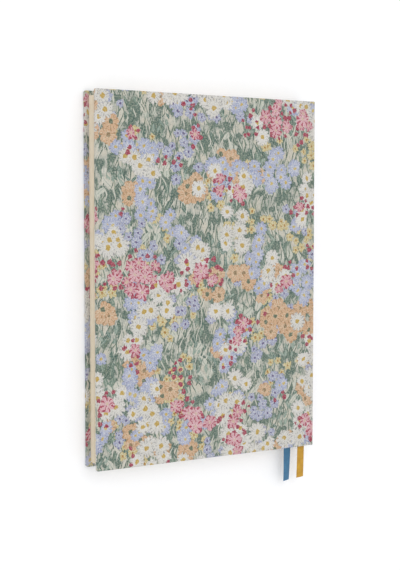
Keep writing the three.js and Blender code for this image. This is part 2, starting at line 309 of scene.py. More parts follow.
@dataclass(frozen=True)
class Bloom:
    """One kind of generic flower in the print, drawn in polar form on scattered centres."""

    spacing: float
    radius: float
    petals: int
    notch: float
    roundness: float
    presence: float
    clump: float
    seed: float
    inner: str
    outer: str
    mark: str
    mark_from: float
    heart: str
    heart_radius: float
    scatter: float = 0.8
    smallest: float = 0.64
    growth: float = 0.45
    edge: float = 0.03
    heart_edge: float = 0.1
    mark_edge: float = 0.12
    grain_scale: float = 1.1
    strokes_per_petal: float = 1.5
    stroke_tones: Pair = (0.25, 0.75)
    clump_spacing: float = 30.0
    seed_step: Pair = (37.0, 53.0)
    clump_step: Pair = (61.0, 17.0)

    def paint(
        self, tree: bpy.types.NodeTree, place: bpy.types.Node, below: bpy.types.Node
    ) -> bpy.types.Node:
        """Paints the flowers over a colour.

        Args:
            tree: The material's tree.
            place: The place in the print, in millimetres.
            below: The colour that they cover.

        Returns:
            The node that gives the new colour.
        """
        shift_x, shift_y = (self.seed * step for step in self.seed_step)
        moved = add(tree, "ShaderNodeVectorMath", {0: place, 1: (shift_x, shift_y, 0)})
        cells = add(
            tree,
            "ShaderNodeTexVoronoi",
            {"Vector": moved, "Scale": 1 / self.spacing, "Randomness": self.scatter},
            voronoi_dimensions="2D",
        )
        local = add(
            tree,
            "ShaderNodeVectorMath",
            {0: moved, 1: cells.outputs["Position"]},
            operation="SUBTRACT",
        )
        chance = add(tree, "ShaderNodeSeparateColor", {0: cells.outputs["Color"]})
        part = add(tree, "ShaderNodeSeparateXYZ", {0: local})
        away = add(tree, "ShaderNodeVectorMath", {0: local}, operation="LENGTH")
        angle = add(
            tree,
            "ShaderNodeMath",
            {0: part.outputs[1], 1: part.outputs[0]},
            operation="ARCTAN2",
        )
        turned = add(
            tree,
            "ShaderNodeMath",
            {0: chance.outputs[0], 1: math.tau, 2: angle},
            operation="MULTIPLY_ADD",
        )
        waves = add(
            tree, "ShaderNodeMath", {0: turned, 1: self.petals / 2}, operation="MULTIPLY"
        )
        cosine = add(tree, "ShaderNodeMath", {0: waves}, operation="COSINE")
        lobe = add(tree, "ShaderNodeMath", {0: cosine}, operation="ABSOLUTE")
        rounded = add(tree, "ShaderNodeMath", {0: lobe, 1: self.roundness}, operation="POWER")
        reach = add(
            tree,
            "ShaderNodeMath",
            {0: rounded, 1: self.notch, 2: 1 - self.notch},
            operation="MULTIPLY_ADD",
        )
        size = add(
            tree,
            "ShaderNodeMath",
            {
                0: chance.outputs[1],
                1: self.growth * self.radius,
                2: self.smallest * self.radius,
            },
            operation="MULTIPLY_ADD",
        )
        edge = add(tree, "ShaderNodeMath", {0: reach, 1: size}, operation="MULTIPLY")
        share = add(tree, "ShaderNodeMath", {0: away, 1: edge}, operation="DIVIDE")
        inside = add(
            tree,
            "ShaderNodeMapRange",
            {"Value": share, "From Min": 1 + self.edge, "From Max": 1 - self.edge},
        )
        grain = add(
            tree,
            "ShaderNodeTexNoise",
            {"Vector": moved, "Scale": self.grain_scale, "Detail": 1.5},
            noise_dimensions="2D",
        )
        # Brush strokes run down the petals in two tones, broken by a fine noise.
        ray = add(
            tree,
            "ShaderNodeMath",
            {0: turned, 1: self.petals * self.strokes_per_petal},
            operation="MULTIPLY",
        )
        rays = add(tree, "ShaderNodeMath", {0: ray}, operation="COSINE")
        broken = add(
            tree, "ShaderNodeMath", {0: rays, 1: 0.5, 2: grain}, operation="MULTIPLY_ADD"
        )
        stroke = add(
            tree,
            "ShaderNodeMapRange",
            {
                "Value": broken,
                "From Min": self.stroke_tones[0],
                "From Max": self.stroke_tones[1],
            },
        )
        shade = add(
            tree,
            "ShaderNodeMix",
            {"Factor_Float": stroke, "A_Color": linear(self.inner), "B_Color": linear(self.outer)},
            data_type="RGBA",
        )
        drawn = add(
            tree,
            "ShaderNodeMath",
            {0: share, 1: 0.5, 2: broken},
            operation="MULTIPLY_ADD",
        )
        mark = add(
            tree,
            "ShaderNodeMapRange",
            {
                "Value": drawn,
                "From Min": self.mark_from,
                "From Max": self.mark_from + self.mark_edge,
            },
        )
        marked = add(
            tree,
            "ShaderNodeMix",
            {"Factor_Float": mark, "A_Color": shade, "B_Color": linear(self.mark)},
            data_type="RGBA",
        )
        middle = add(
            tree,
            "ShaderNodeMapRange",
            {
                "Value": away,
                "From Min": self.heart_radius * (1 + self.heart_edge),
                "From Max": self.heart_radius * (1 - self.heart_edge),
            },
        )
        hearted = add(
            tree,
            "ShaderNodeMix",
            {"Factor_Float": middle, "A_Color": marked, "B_Color": linear(self.heart)},
            data_type="RGBA",
        )
        # Kinds with the same clump number grow in the same places, and so overlap.
        home_x = self.clump * self.clump_step[0] - shift_x
        home_y = self.clump * self.clump_step[1] - shift_y
        home = add(
            tree,
            "ShaderNodeVectorMath",
            {0: cells.outputs["Position"], 1: (home_x, home_y, 0)},
        )
        drift = add(
            tree,
            "ShaderNodeTexNoise",
            {"Vector": home, "Scale": 1 / self.clump_spacing, "Detail": 1.5},
            noise_dimensions="2D",
        )
        grows = add(
            tree,
            "ShaderNodeMath",
            {0: drift, 1: self.presence},
            operation="GREATER_THAN",
        )
        cover = add(tree, "ShaderNodeMath", {0: inside, 1: grows}, operation="MULTIPLY")
        return add(
            tree,
            "ShaderNodeMix",
            {"Factor_Float": cover, "A_Color": below, "B_Color": hearted},
            data_type="RGBA",
        )


@dataclass(frozen=True)
class Blade:
    """One kind of leaf or grass blade in the print: a pointed stroke on scattered places."""

    across: float
    along: float
    width: float
    length: float
    lean: float
    presence: float
    seed: float
    dark: str
    light: str
    rib: str
    vein: float
    turn: float = 0.0
    bend: float = 0.0
    scatter: float = 0.7
    edge: float = 0.12
    vein_core: float = 0.4
    patch_spacing: float = 22.0
    patch_edge: float = 0.03
    seed_step: Pair = (41.0, 29.0)

    def paint(
        self, tree: bpy.types.NodeTree, place: bpy.types.Node, below: bpy.types.Node
    ) -> bpy.types.Node:
        """Paints the blades over a colour.

        Args:
            tree: The material's tree.
            place: The place in the print, in millimetres.
            below: The colour that they cover.

        Returns:
            The node that gives the new colour.
        """
        spread = (self.across, self.along, 1.0)
        shift_x, shift_y = (self.seed * step for step in self.seed_step)
        moved = add(tree, "ShaderNodeVectorMath", {0: place, 1: (shift_x, shift_y, 0)})
        turned = add(
            tree,
            "ShaderNodeVectorRotate",
            {"Vector": moved, "Angle": math.radians(self.turn)},
            rotation_type="Z_AXIS",
        )
        squeezed = add(
            tree, "ShaderNodeVectorMath", {0: turned, 1: spread}, operation="DIVIDE"
        )
        cells = add(
            tree,
            "ShaderNodeTexVoronoi",
            {"Vector": squeezed, "Scale": 1.0, "Randomness": self.scatter},
            voronoi_dimensions="2D",
        )
        local = add(
            tree,
            "ShaderNodeVectorMath",
            {0: squeezed, 1: cells.outputs["Position"]},
            operation="SUBTRACT",
        )
        real = add(tree, "ShaderNodeVectorMath", {0: local, 1: spread}, operation="MULTIPLY")
        part = add(tree, "ShaderNodeSeparateXYZ", {0: real})
        chance = add(tree, "ShaderNodeSeparateColor", {0: cells.outputs["Color"]})
        tilt = add(
            tree,
            "ShaderNodeMath",
            {0: chance.outputs[0], 1: 2 * self.lean, 2: -self.lean},
            operation="MULTIPLY_ADD",
        )
        leaned = add(
            tree,
            "ShaderNodeMath",
            {0: part.outputs[1], 1: tilt, 2: part.outputs[0]},
            operation="MULTIPLY_ADD",
        )
        run = add(
            tree, "ShaderNodeMath", {0: part.outputs[1], 1: self.length}, operation="DIVIDE"
        )
        square = add(tree, "ShaderNodeMath", {0: run, 1: run}, operation="MULTIPLY")
        curl = add(
            tree,
            "ShaderNodeMath",
            {0: chance.outputs[2], 1: 2 * self.bend, 2: -self.bend},
            operation="MULTIPLY_ADD",
        )
        bent = add(
            tree, "ShaderNodeMath", {0: square, 1: curl, 2: leaned}, operation="MULTIPLY_ADD"
        )
        side = add(tree, "ShaderNodeMath", {0: bent}, operation="ABSOLUTE")
        taper = add(
            tree,
            "ShaderNodeMath",
            {0: square, 1: -self.width, 2: self.width},
            operation="MULTIPLY_ADD",
        )
        inner = add(tree, "ShaderNodeMath", {0: taper, 1: side}, operation="SUBTRACT")
        inside = add(
            tree,
            "ShaderNodeMapRange",
            {"Value": inner, "From Min": 0.0, "From Max": self.edge},
        )
        drift = add(
            tree,
            "ShaderNodeTexNoise",
            {"Vector": moved, "Scale": 1 / self.patch_spacing, "Detail": 1.0},
            noise_dimensions="2D",
        )
        grows = add(
            tree,
            "ShaderNodeMapRange",
            {
                "Value": drift,
                "From Min": self.presence,
                "From Max": self.presence + self.patch_edge,
            },
        )
        cover = add(tree, "ShaderNodeMath", {0: inside, 1: grows}, operation="MULTIPLY")
        tint = add(
            tree,
            "ShaderNodeMix",
            {
                "Factor_Float": chance.outputs[1],
                "A_Color": linear(self.dark),
                "B_Color": linear(self.light),
            },
            data_type="RGBA",
        )
        vein = add(
            tree,
            "ShaderNodeMapRange",
            {"Value": side, "From Min": self.vein, "From Max": self.vein_core * self.vein},
        )
        veined = add(
            tree,
            "ShaderNodeMix",
            {"Factor_Float": vein, "A_Color": tint, "B_Color": linear(self.rib)},
            data_type="RGBA",
        )
        return add(
            tree,
            "ShaderNodeMix",
            {"Factor_Float": cover, "A_Color": below, "B_Color": veined},
            data_type="RGBA",
        )


@dataclass(frozen=True)
class PrintedLinen:
    """Book linen: plain woven flax, pigment printed all over with a generic meadow print.

    Slubby matt threads that the print sits on, so that it has a dry, slightly broken look.
    Real threads are about 0.4 mm apart, too fine for the picture, so they are drawn coarser.
    Each drift is its turns in a millimetre and its reach in millimetres.
    """

    ground: str = "c4bfb1"
    wash: str = "adafa5"
    mass: str = "617369"
    flax: str = "c9c4b3"
    thread_spacing: float = 0.6
    thread_relief: float = 0.06
    thread_drift: float = 5.0
    drift_scale: float = 0.7
    thread_shade_tones: Pair = (0.81, 1.03)
    slub_length: float = 0.9
    slub_weight: float = 1.2
    slub_tones: Pair = (0.8, 1.0)
    slub_shaded: Pair = (0.25, 0.5)
    slub_bare: Pair = (0.48, 0.75)
    bareness: float = 0.42
    bloom_drift: Pair = (0.55, 1.8)
    stroke_drift: Pair = (0.06, 6.0)
    cloud_scale: float = 0.13
    wash_from: Pair = (0.38, 0.47)
    mass_from: Pair = (0.5, 0.55)
    strokes: tuple[Blade, ...] = (
        Blade(
            across=4.2, along=15, width=0.44, length=7.0, lean=0.12,
            presence=0.36, seed=1, vein=0.1, turn=22, bend=1.3,
            dark="4c655d", light="82907f", rib="4c655d",
        ),
        Blade(
            across=6.4, along=8.5, width=1.8, length=3.9, lean=0.6,
            presence=0.52, seed=3, vein=0.16,
            dark="516a61", light="7b8e80", rib="b4bcb0",
        ),
        Blade(
            across=4.0, along=14, width=0.40, length=6.6, lean=0.12,
            presence=0.37, seed=2, vein=0.1, turn=-25, bend=1.3,
            dark="425b54", light="71816f", rib="425b54",
        ),
        Blade(
            across=3.8, along=16, width=0.42, length=7.4, lean=0.10,
            presence=0.36, seed=16, vein=0.1, turn=5, bend=1.1,
            dark="566e65", light="8b9886", rib="566e65",
        ),
        Blade(
            across=4.6, along=11, width=0.46, length=4.9, lean=0.16,
            presence=0.50, seed=15, vein=0.1, turn=14, bend=1.4,
            dark="bfc0b3", light="cbc9bd", rib="bfc0b3",
        ),
        Blade(
            across=7.0, along=9.0, width=2.4, length=4.4, lean=0.8,
            presence=0.58, seed=4, vein=0.2,
            dark="c9c6bb", light="bdc1b4", rib="7d9087",
        ),
        Blade(
            across=3.6, along=13, width=0.36, length=6.1, lean=0.12,
            presence=0.38, seed=13, vein=0.1, turn=-7, bend=1.2,
            dark="405851", light="75846f", rib="405851",
        ),
        Blade(
            across=4.2, along=10, width=0.38, length=4.4, lean=0.18,
            presence=0.52, seed=14, vein=0.1, turn=-16, bend=1.3,
            dark="cbc8bc", light="d2cfc4", rib="cbc8bc",
        ),
        Blade(
            across=4.4, along=5.4, width=1.1, length=2.4, lean=1.0,
            presence=0.57, seed=12, vein=0.14,
            dark="56716a", light="94a498", rib="b4bcb0",
        ),
    )
    blooms: tuple[Bloom, ...] = (
        Bloom(
            spacing=6.2, radius=3.0, petals=5, notch=0.45, roundness=0.5,
            presence=0.585, clump=1, seed=5, mark_from=1.3, heart_radius=0.7,
            inner="c0ae78", outer="d0c8a6", mark="a98c56", heart="a67c3e",
        ),
        Bloom(
            spacing=7.6, radius=3.8, petals=5, notch=0.38, roundness=0.45,
            presence=0.6, clump=2, seed=6, mark_from=1.2, heart_radius=0.7,
            inner="999eb9", outer="c3c5cc", mark="74739a", heart="625880",
        ),
        Bloom(
            spacing=11.5, radius=6.6, petals=6, notch=0.3, roundness=0.45,
            presence=0.62, clump=8, seed=7, mark_from=1.1, heart_radius=1.3,
            inner="caa586", outer="d6c0a4", mark="ae8a68", heart="8f7a5c",
        ),
        Bloom(
            spacing=10.5, radius=5.8, petals=7, notch=0.3, roundness=0.45,
            presence=0.645, clump=8, seed=21, mark_from=1.1, heart_radius=1.4,
            inner="c8a07e", outer="d3ba9c", mark="a98460", heart="66705c",
        ),
        Bloom(
            spacing=9.0, radius=5.0, petals=8, notch=0.42, roundness=0.5,
            presence=0.59, clump=4, seed=8, mark_from=1.2, heart_radius=0.9,
            inner="98a1bf", outer="c8cad0", mark="7f84ab", heart="bfa55e",
        ),
        Bloom(
            spacing=9.8, radius=5.3, petals=9, notch=0.42, roundness=0.5,
            presence=0.61, clump=4, seed=22, mark_from=1.2, heart_radius=1.0,
            inner="a2a9c4", outer="cfd0d4", mark="8287ad", heart="c2ad6e",
        ),
        Bloom(
            spacing=10.5, radius=5.9, petals=11, notch=0.36, roundness=0.6,
            presence=0.59, clump=5, seed=9, mark_from=1.24, heart_radius=1.4,
            inner="d0cdc8", outer="dcdad5", mark="a29f9c", heart="bd9f54",
        ),
        Bloom(
            spacing=11.5, radius=6.4, petals=10, notch=0.36, roundness=0.6,
            presence=0.60, clump=5, seed=23, mark_from=1.18, heart_radius=1.5,
            inner="cdcac4", outer="d9d7d1", mark="9c9a98", heart="b99b52",
        ),
        Bloom(
            spacing=4.8, radius=1.6, petals=3, notch=0.25, roundness=0.5,
            presence=0.61, clump=6, seed=11, mark_from=1.3, heart_radius=0.3,
            inner="9a394f", outer="a74b5f", mark="7a3244", heart="7a3244",
        ),
        Bloom(
            spacing=8.4, radius=4.7, petals=5, notch=0.4, roundness=0.5,
            presence=0.655, clump=6, seed=10, mark_from=0.98, heart_radius=0.8,
            inner="ca98a1", outer="dfc0c5", mark="a23e57", heart="c9af9c",
        ),
        Bloom(
            spacing=9.2, radius=5.0, petals=5, notch=0.4, roundness=0.5,
            presence=0.68, clump=6, seed=24, mark_from=0.98, heart_radius=0.8,
            inner="d0a3ab", outer="e3cbce", mark="a8455d", heart="cbb4a0",
        ),
    )

    def drifted(
        self, tree: bpy.types.NodeTree, flat: bpy.types.Node, scale: float, reach: float
    ) -> bpy.types.Node:
        """Bends the print's plane, so that the hand of a painter shows in its lines.

        Args:
            tree: The material's tree.
            flat: The place on the cloth, in millimetres.
            scale: Turns of the drift in each millimetre.
            reach: How far the drift may go, in millimetres.

        Returns:
            The node that gives the place in the print.
        """
        noise = add(
            tree,
            "ShaderNodeTexNoise",
            {"Vector": flat, "Scale": scale, "Detail": 1.5},
            noise_dimensions="2D",
        )
        shift = add(
            tree,
            "ShaderNodeVectorMath",
            {0: noise.outputs["Color"], 1: (0.5, 0.5, 0.5)},
            operation="SUBTRACT",
        )
        return add(
            tree,
            "ShaderNodeVectorMath",
            {0: shift, 1: (reach, reach, 0.0), 2: flat},
            operation="MULTIPLY_ADD",
        )

    def colour(self, tree: bpy.types.NodeTree, flat: bpy.types.Node) -> bpy.types.Node:
        """Builds the print.

        Args:
            tree: The material's tree.
            flat: The place on the cloth, in millimetres.

        Returns:
            The node that gives the colour.
        """
        place = self.drifted(tree, flat, *self.bloom_drift)
        swayed = self.drifted(tree, flat, *self.stroke_drift)
        cloud = add(
            tree,
            "ShaderNodeTexNoise",
            {"Vector": place, "Scale": self.cloud_scale, "Detail": 3.5},
            noise_dimensions="2D",
        )
        pale, deep = (
            add(tree, "ShaderNodeMapRange", {"Value": cloud, "From Min": low, "From Max": high})
            for low, high in (self.wash_from, self.mass_from)
        )
        washed = add(
            tree,
            "ShaderNodeMix",
            {"Factor_Float": pale, "A_Color": linear(self.ground), "B_Color": linear(self.wash)},
            data_type="RGBA",
        )
        colour = add(
            tree,
            "ShaderNodeMix",
            {"Factor_Float": deep, "A_Color": washed, "B_Color": linear(self.mass)},
            data_type="RGBA",
        )
        for blade in self.strokes:
            colour = blade.paint(tree, swayed, colour)
        for bloom in self.blooms:
            colour = bloom.paint(tree, place, colour)
        return colour

    def build(self) -> bpy.types.Material:
        """Builds the finish.

        Returns:
            The material.
        """
        material, tree = new_material("printed_linen")
        flat = add(tree, "ShaderNodeUVMap", uv_map=PRINT_MAP)
        colour = self.colour(tree, flat)
        threads = self.threads(tree, flat)
        # The colour darkens where the weave's relief is low: painted shade in the hollows between the
        # threads.
        thread_shade = add(
            tree,
            "ShaderNodeMapRange",
            {
                "Value": threads,
                "From Min": -1.0,
                "From Max": 1.0,
                "To Min": self.thread_shade_tones[0],
                "To Max": self.thread_shade_tones[1],
            },
        )
        # The ink misses the tops of the thicker threads, and bare flax shows there.
        slubs = add(
            tree,
            "ShaderNodeTexNoise",
            {"Vector": flat, "Scale": 1 / self.slub_length, "Detail": 2.5},
            noise_dimensions="2D",
        )
        bare = add(
            tree,
            "ShaderNodeMapRange",
            {
                "Value": slubs,
                "From Min": self.slub_bare[0],
                "From Max": self.slub_bare[1],
                "To Max": self.bareness,
            },
        )
        broken = add(
            tree,
            "ShaderNodeMix",
            {"Factor_Float": bare, "A_Color": colour, "B_Color": linear(self.flax)},
            data_type="RGBA",
        )
        shade = add(
            tree,
            "ShaderNodeMapRange",
            {
                "Value": slubs,
                "From Min": self.slub_shaded[0],
                "From Max": self.slub_shaded[1],
                "To Min": self.slub_tones[0],
                "To Max": self.slub_tones[1],
            },
        )
        # Painted shade between the threads, times the random tone of the slubs.
        painted_shade_and_slubs = add(tree, "ShaderNodeMath", {0: thread_shade, 1: shade}, operation="MULTIPLY")
        woven = add(
            tree, "ShaderNodeVectorMath", {0: broken, 1: painted_shade_and_slubs}, operation="MULTIPLY"
        )
        bump = add(
            tree,
            "ShaderNodeBump",
            {"Height": threads, "Strength": 0.35, "Distance": self.thread_relief * MM},
        )
        surface = add(
            tree,
            "ShaderNodeBsdfPrincipled",
            {
                "Base Color": woven,
                "Roughness": 0.86,
                "Normal": bump,
                "Specular IOR Level": 0.3,
                "Sheen Weight": 0.12,
                "Sheen Roughness": 0.5,
            },
        )
        add(tree, "ShaderNodeOutputMaterial", {"Surface": surface})
        return material

    def threads(self, tree: bpy.types.NodeTree, flat: bpy.types.Node) -> bpy.types.Node:
        """Builds the relief of the weave, drawn a little coarser than the cloth's own threads.

        Args:
            tree: The material's tree.
            flat: The place on the cloth, in millimetres.

        Returns:
            The node that gives the relief, from about -1 to 1.
        """
        slub = add(
            tree,
            "ShaderNodeTexNoise",
            {"Vector": flat, "Scale": self.drift_scale, "Detail": 2.0},
            noise_dimensions="2D",
        )
        part = add(tree, "ShaderNodeSeparateXYZ", {0: flat})
        waves = []
        for axis in (0, 1):
            turns = add(
                tree,
                "ShaderNodeMath",
                {0: part.outputs[axis], 1: math.tau / self.thread_spacing},
                operation="MULTIPLY",
            )
            uneven = add(
                tree,
                "ShaderNodeMath",
                {0: slub, 1: self.thread_drift, 2: turns},
                operation="MULTIPLY_ADD",
            )
            waves.append(add(tree, "ShaderNodeMath", {0: uneven}, operation="SINE"))
        crossed = add(
            tree, "ShaderNodeMath", {0: waves[0], 1: waves[1]}, operation="MULTIPLY"
        )
        return add(
            tree,
            "ShaderNodeMath",
            {0: slub, 1: self.slub_weight, 2: crossed},
            operation="MULTIPLY_ADD",
        )


@dataclass(frozen=True)
class Fibrous:
    """Paper and board: pressed wood fibre, matt, with a faint mottle and felt marks."""

    name: str
    base: str
    fleck: str
    mottle: float
    roughness: float = 0.9
    relief: float = 0.02
    cloud_size: float = 6.0
    fibre_size: float = 0.35
    mottled: Pair = (0.12, 0.4)

    def build(self) -> bpy.types.Material:
        """Builds the finish.

        Returns:
            The material.
        """
        material, tree = new_material(self.name)
        place = add(tree, "ShaderNodeTexCoord").outputs["Object"]
        cloud = add(
            tree,
            "ShaderNodeTexNoise",
            {"Vector": place, "Scale": 1 / (self.cloud_size * MM), "Detail": 3.0},
        )
        fibre = add(
            tree,
            "ShaderNodeTexNoise",
            {"Vector": place, "Scale": 1 / (self.fibre_size * MM), "Detail": 2.0},
        )
        both = add(tree, "ShaderNodeMath", {0: cloud, 1: fibre}, operation="MULTIPLY")
        amount = add(
            tree,
            "ShaderNodeMapRange",
            {
                "Value": both,
                "From Min": self.mottled[0],
                "From Max": self.mottled[1],
                "To Max": self.mottle,
            },
        )
        colour = add(
            tree,
            "ShaderNodeMix",
            {
                "Factor_Float": amount,
                "A_Color": linear(self.base),
                "B_Color": linear(self.fleck),
            },
            data_type="RGBA",
        )
        bump = add(
            tree,
            "ShaderNodeBump",
            {"Height": fibre, "Strength": 0.3, "Distance": self.relief * MM},
        )
        surface = add(
            tree,
            "ShaderNodeBsdfPrincipled",
            {
                "Base Color": colour,
                "Roughness": self.roughness,
                "Normal": bump,
                "Specular IOR Level": 0.25,
            },
        )
        add(tree, "ShaderNodeOutputMaterial", {"Surface": surface})
        return material


@dataclass(frozen=True)
class Woven:
    """Yarn goods with a ribbed surface: ribbon, headband silk, thread and gauze.

    The yarns lie across the piece in ribs, and those along it are wider and weaker.
    """

    name: str
    base: str
    dark: str
    # Colour of the painted shade between the ribs and of the random drift.
    rib: float
    sheen: float = 0.3
    roughness: float = 0.5
    on_map: bool = False
    length_rib: float = 1.3
    length_relief: float = 0.4
    relief: float = 0.03
    rib_shade: float = 0.16
    drift_scale: float = 0.35
    tones: Pair = (0.75, 0.25)
    darkest: float = 0.75

    def build(self) -> bpy.types.Material:
        """Builds the finish.

        Returns:
            The material.
        """
        material, tree = new_material(self.name)
        if self.on_map:
            place = add(tree, "ShaderNodeUVMap", uv_map=WEAVE_MAP).outputs[0]
            per_mm = 1.0
        else:
            place = add(tree, "ShaderNodeTexCoord").outputs["Object"]
            per_mm = 1 / MM
        part = add(tree, "ShaderNodeSeparateXYZ", {0: place})
        ribs = []
        for axis, spacing in ((0, self.rib * self.length_rib), (1, self.rib)):
            turns = add(
                tree,
                "ShaderNodeMath",
                {0: part.outputs[axis], 1: math.tau * per_mm / spacing},
                operation="MULTIPLY",
            )
            ribs.append(add(tree, "ShaderNodeMath", {0: turns}, operation="SINE"))
        relief = add(
            tree,
            "ShaderNodeMath",
            {0: ribs[0], 1: self.length_relief, 2: ribs[1]},
            operation="MULTIPLY_ADD",
        )
        drift = add(
            tree,
            "ShaderNodeTexNoise",
            {"Vector": place, "Scale": self.drift_scale * per_mm, "Detail": 2.0},
        )
        # The colour darkens where the relief is low: painted shade in the hollows between the ribs,
        # mixed with a random drift.
        rib_shade_and_drift = add(
            tree,
            "ShaderNodeMath",
            {0: relief, 1: self.rib_shade, 2: drift},
            operation="MULTIPLY_ADD",
        )
        amount = add(
            tree,
            "ShaderNodeMapRange",
            {
                "Value": rib_shade_and_drift,
                "From Min": self.tones[0],
                "From Max": self.tones[1],
                "To Max": self.darkest,
            },
        )
        colour = add(
            tree,
            "ShaderNodeMix",
            {
                "Factor_Float": amount,
                "A_Color": linear(self.base),
                "B_Color": linear(self.dark),
            },
            data_type="RGBA",
        )
        bump = add(
            tree,
            "ShaderNodeBump",
            {"Height": relief, "Strength": 0.4, "Distance": self.relief * MM},
        )
        surface = add(
            tree,
            "ShaderNodeBsdfPrincipled",
            {
                "Base Color": colour,
                "Roughness": self.roughness,
                "Normal": bump,
                "Sheen Weight": self.sheen,
                "Sheen Roughness": 0.4,
            },
        )
        add(tree, "ShaderNodeOutputMaterial", {"Surface": surface})
        return material


class Materials:
    """The notebook's finishes, each built once."""

    def __init__(self) -> None:
        """Builds them."""
        self.linen = PrintedLinen().build()
        # Pressed waste paper: dull, grey-brown and clearly speckled.
        self.greyboard = Fibrous(
            "greyboard", base="9a9186", fleck="6f675d", mottle=0.7, roughness=0.95, relief=0.06
        ).build()
        # Uncoated wood-free paper: matt and warm, with a cloudy look-through.
        self.paper = Fibrous("cream_book_paper", "f1e4cd", "dccdae", mottle=0.35).build()
        # The same stock, heavier and a little more even.
        self.endpaper = Fibrous("cream_endpaper", "eee3cd", "dacdae", mottle=0.3).build()
        # Unbleached sulphate paper: brown, with darker fibre marks.
        self.kraft = Fibrous("kraft_paper", "b08d62", "8b6b45", mottle=0.6).build()
        # Stiffened open cotton gauze: dry, with no gleam.
        self.mull = Woven(
            "mull_gauze", "e8e4d8", "b8b09c", rib=0.9, sheen=0.1, roughness=0.9
        ).build()
        # Wound silk yarn: a soft gleam on each turn.
        self.headband = Woven("headband_silk", "e9e2cf", "cfc4a8", rib=0.3).build()
        # Waxed linen thread: dull, with a faint gleam of the wax.
        self.thread = Woven(
            "linen_thread", "f3efe4", "c9c0ab", rib=0.4, sheen=0.2, roughness=0.7
        ).build()
        # Satin ribbon of rayon: fine cross ribs and a soft gleam along its length.
        self.blue, self.mustard = (
            Woven(
                f"{name}_ribbon_satin",
                base,
                dark,
                rib=0.28,
                sheen=0.25,
                roughness=0.45,
                on_map=True,
            ).build()
            for name, base, dark in (
                ("blue", "3c789e", "2d5f82"),
                ("mustard", "cc9c26", "ab7a18"),
            )
        )


def rolled_edge(depth: float, radius: float, flat: float, steps: int = 6) -> list[Pair]:
    """Points of the cloth as it rolls over an edge, from the outer face to the inner face.

    Args:
        depth: Distance between the two faces.
        radius: Radius of the roll.
        flat: Flat margin kept on each face beside the roll.
        steps: Faces in each quarter turn.

    Returns:
        Distance from the edge and depth below the outer face, for each point.
    """
    r = min(radius, depth / 2)
    near = [
        (r - r * math.sin(a), r - r * math.cos(a))
        for a in (math.pi / 2 * i / steps for i in range(steps + 1))
    ]
    far = [(e, depth - d) for e, d in reversed(near)]
    return [(r + flat, 0.0), *near, *far, (r + flat, depth)]


@dataclass(frozen=True)
class Station:
    """A place on the edge of a cloth, where it rolls over from its outer to its inner face.

    The place is on the outer face. The cloth wraps the depth there, and the flap ends at its
    cut edge on the inner face. Across is the place in the print, and across_out what each
    millimetre outwards adds to it.
    """

    place: Triple
    out: Triple
    inward: Triple
    depth: float
    flap_end: Triple
    across: float
    across_out: float = 0.0


@dataclass
class Loft:
    """Skin that runs from head to tail in stations, rolled over at head and tail."""

    stations: list[Station]
    radius: float
    flat: float = 0.4
    flap_start: float = 0.15

    def ring(self, station: Station, end: int) -> tuple[list[Triple], list[Pair]]:
        """Points and print places of one station.

        Args:
            station: The station.
            end: One at the head and minus one at the tail.

        Returns:
            The points and their places in the print.
        """
        base, out, inward = map(Vector, (station.place, station.out, station.inward))
        rolled = rolled_edge(station.depth, self.radius, self.flat)
        points = [base - out * e + inward * d for e, d in rolled]
        # The flap lies on the inner face, and runs from the roll to its cut edge.
        flap_end = Vector(station.flap_end)
        points += [points[-1].lerp(flap_end, self.flap_start), flap_end]
        run = -rolled[0][0]
        uvs = []
        for i, point in enumerate(points):
            if i:
                run += (point - points[i - 1]).length
            uvs.append((station.across + station.across_out * run, end * (base.y + out.y * run)))
        return [(p.x, end * p.y, p.z) for p in points], uvs

    def build(
        self, name: str, material: bpy.types.Material, thickness: float, face_out: Triple
    ) -> bpy.types.Object:
        """Makes the cloth.

        Args:
            name: The piece's name.
            material: The finish.
            thickness: The cloth's, in millimetres.
            face_out: The way that the first face looks.

        Returns:
            The piece.
        """
        points: list[Triple] = []
        uvs: list[Pair] = []
        for end in (1, -1):
            for station in self.stations:
                ring, ring_uvs = self.ring(station, end)
                points += ring
                uvs += ring_uvs
        count = len(self.stations)
        size = len(points) // (2 * count)
        faces: list[list[int]] = []
        for index in range(count - 1):
            here, low = index * size, (count + index) * size
            after, low_after = here + size, low + size
            faces.append([here, after, low_after, low])
            for j in range(size - 1):
                faces.append([here + j + 1, after + j + 1, after + j, here + j])
                faces.append([low + j, low_after + j, low_after + j + 1, low + j + 1])
        faces += self.closing(size)
        first = Vector(points[faces[0][1]]) - Vector(points[faces[0][0]])
        other = Vector(points[faces[0][3]]) - Vector(points[faces[0][0]])
        if first.cross(other).dot(Vector(face_out)) < 0:
            faces = [list(reversed(face)) for face in faces]
        piece = mesh_piece(name, points, faces, material, uvs)
        thicken(piece, thickness, -1.0)
        return piece

    def closing(self, size: int) -> list[list[int]]:
        """Faces along the last station, from head to tail; none on an open strip.

        Args:
            size: Points in a station.

        Returns:
            The faces.
        """
        open_strip = abs(self.stations[-1].out[1]) > 0.5
        if open_strip:
            return []
        head = (len(self.stations) - 1) * size
        tail = head + len(self.stations) * size
        return [[head + j + 1, tail + j + 1, tail + j, head + j] for j in range(size - 1)]


def groove(x: float) -> float:
    """Depth of the joint's groove in the cover's outer face.

    Args:
        x: The place across the cover, in millimetres.

    Returns:
        The depth in millimetres.
    """
    dip = SIZES.board_back_x + SIZES.gap + SIZES.groove_lead
    t = min(max((x - dip) / SIZES.groove_shoulder, 0.0), 1.0)
    return SIZES.groove_depth * (1 - math.cos(math.pi * t)) / 2


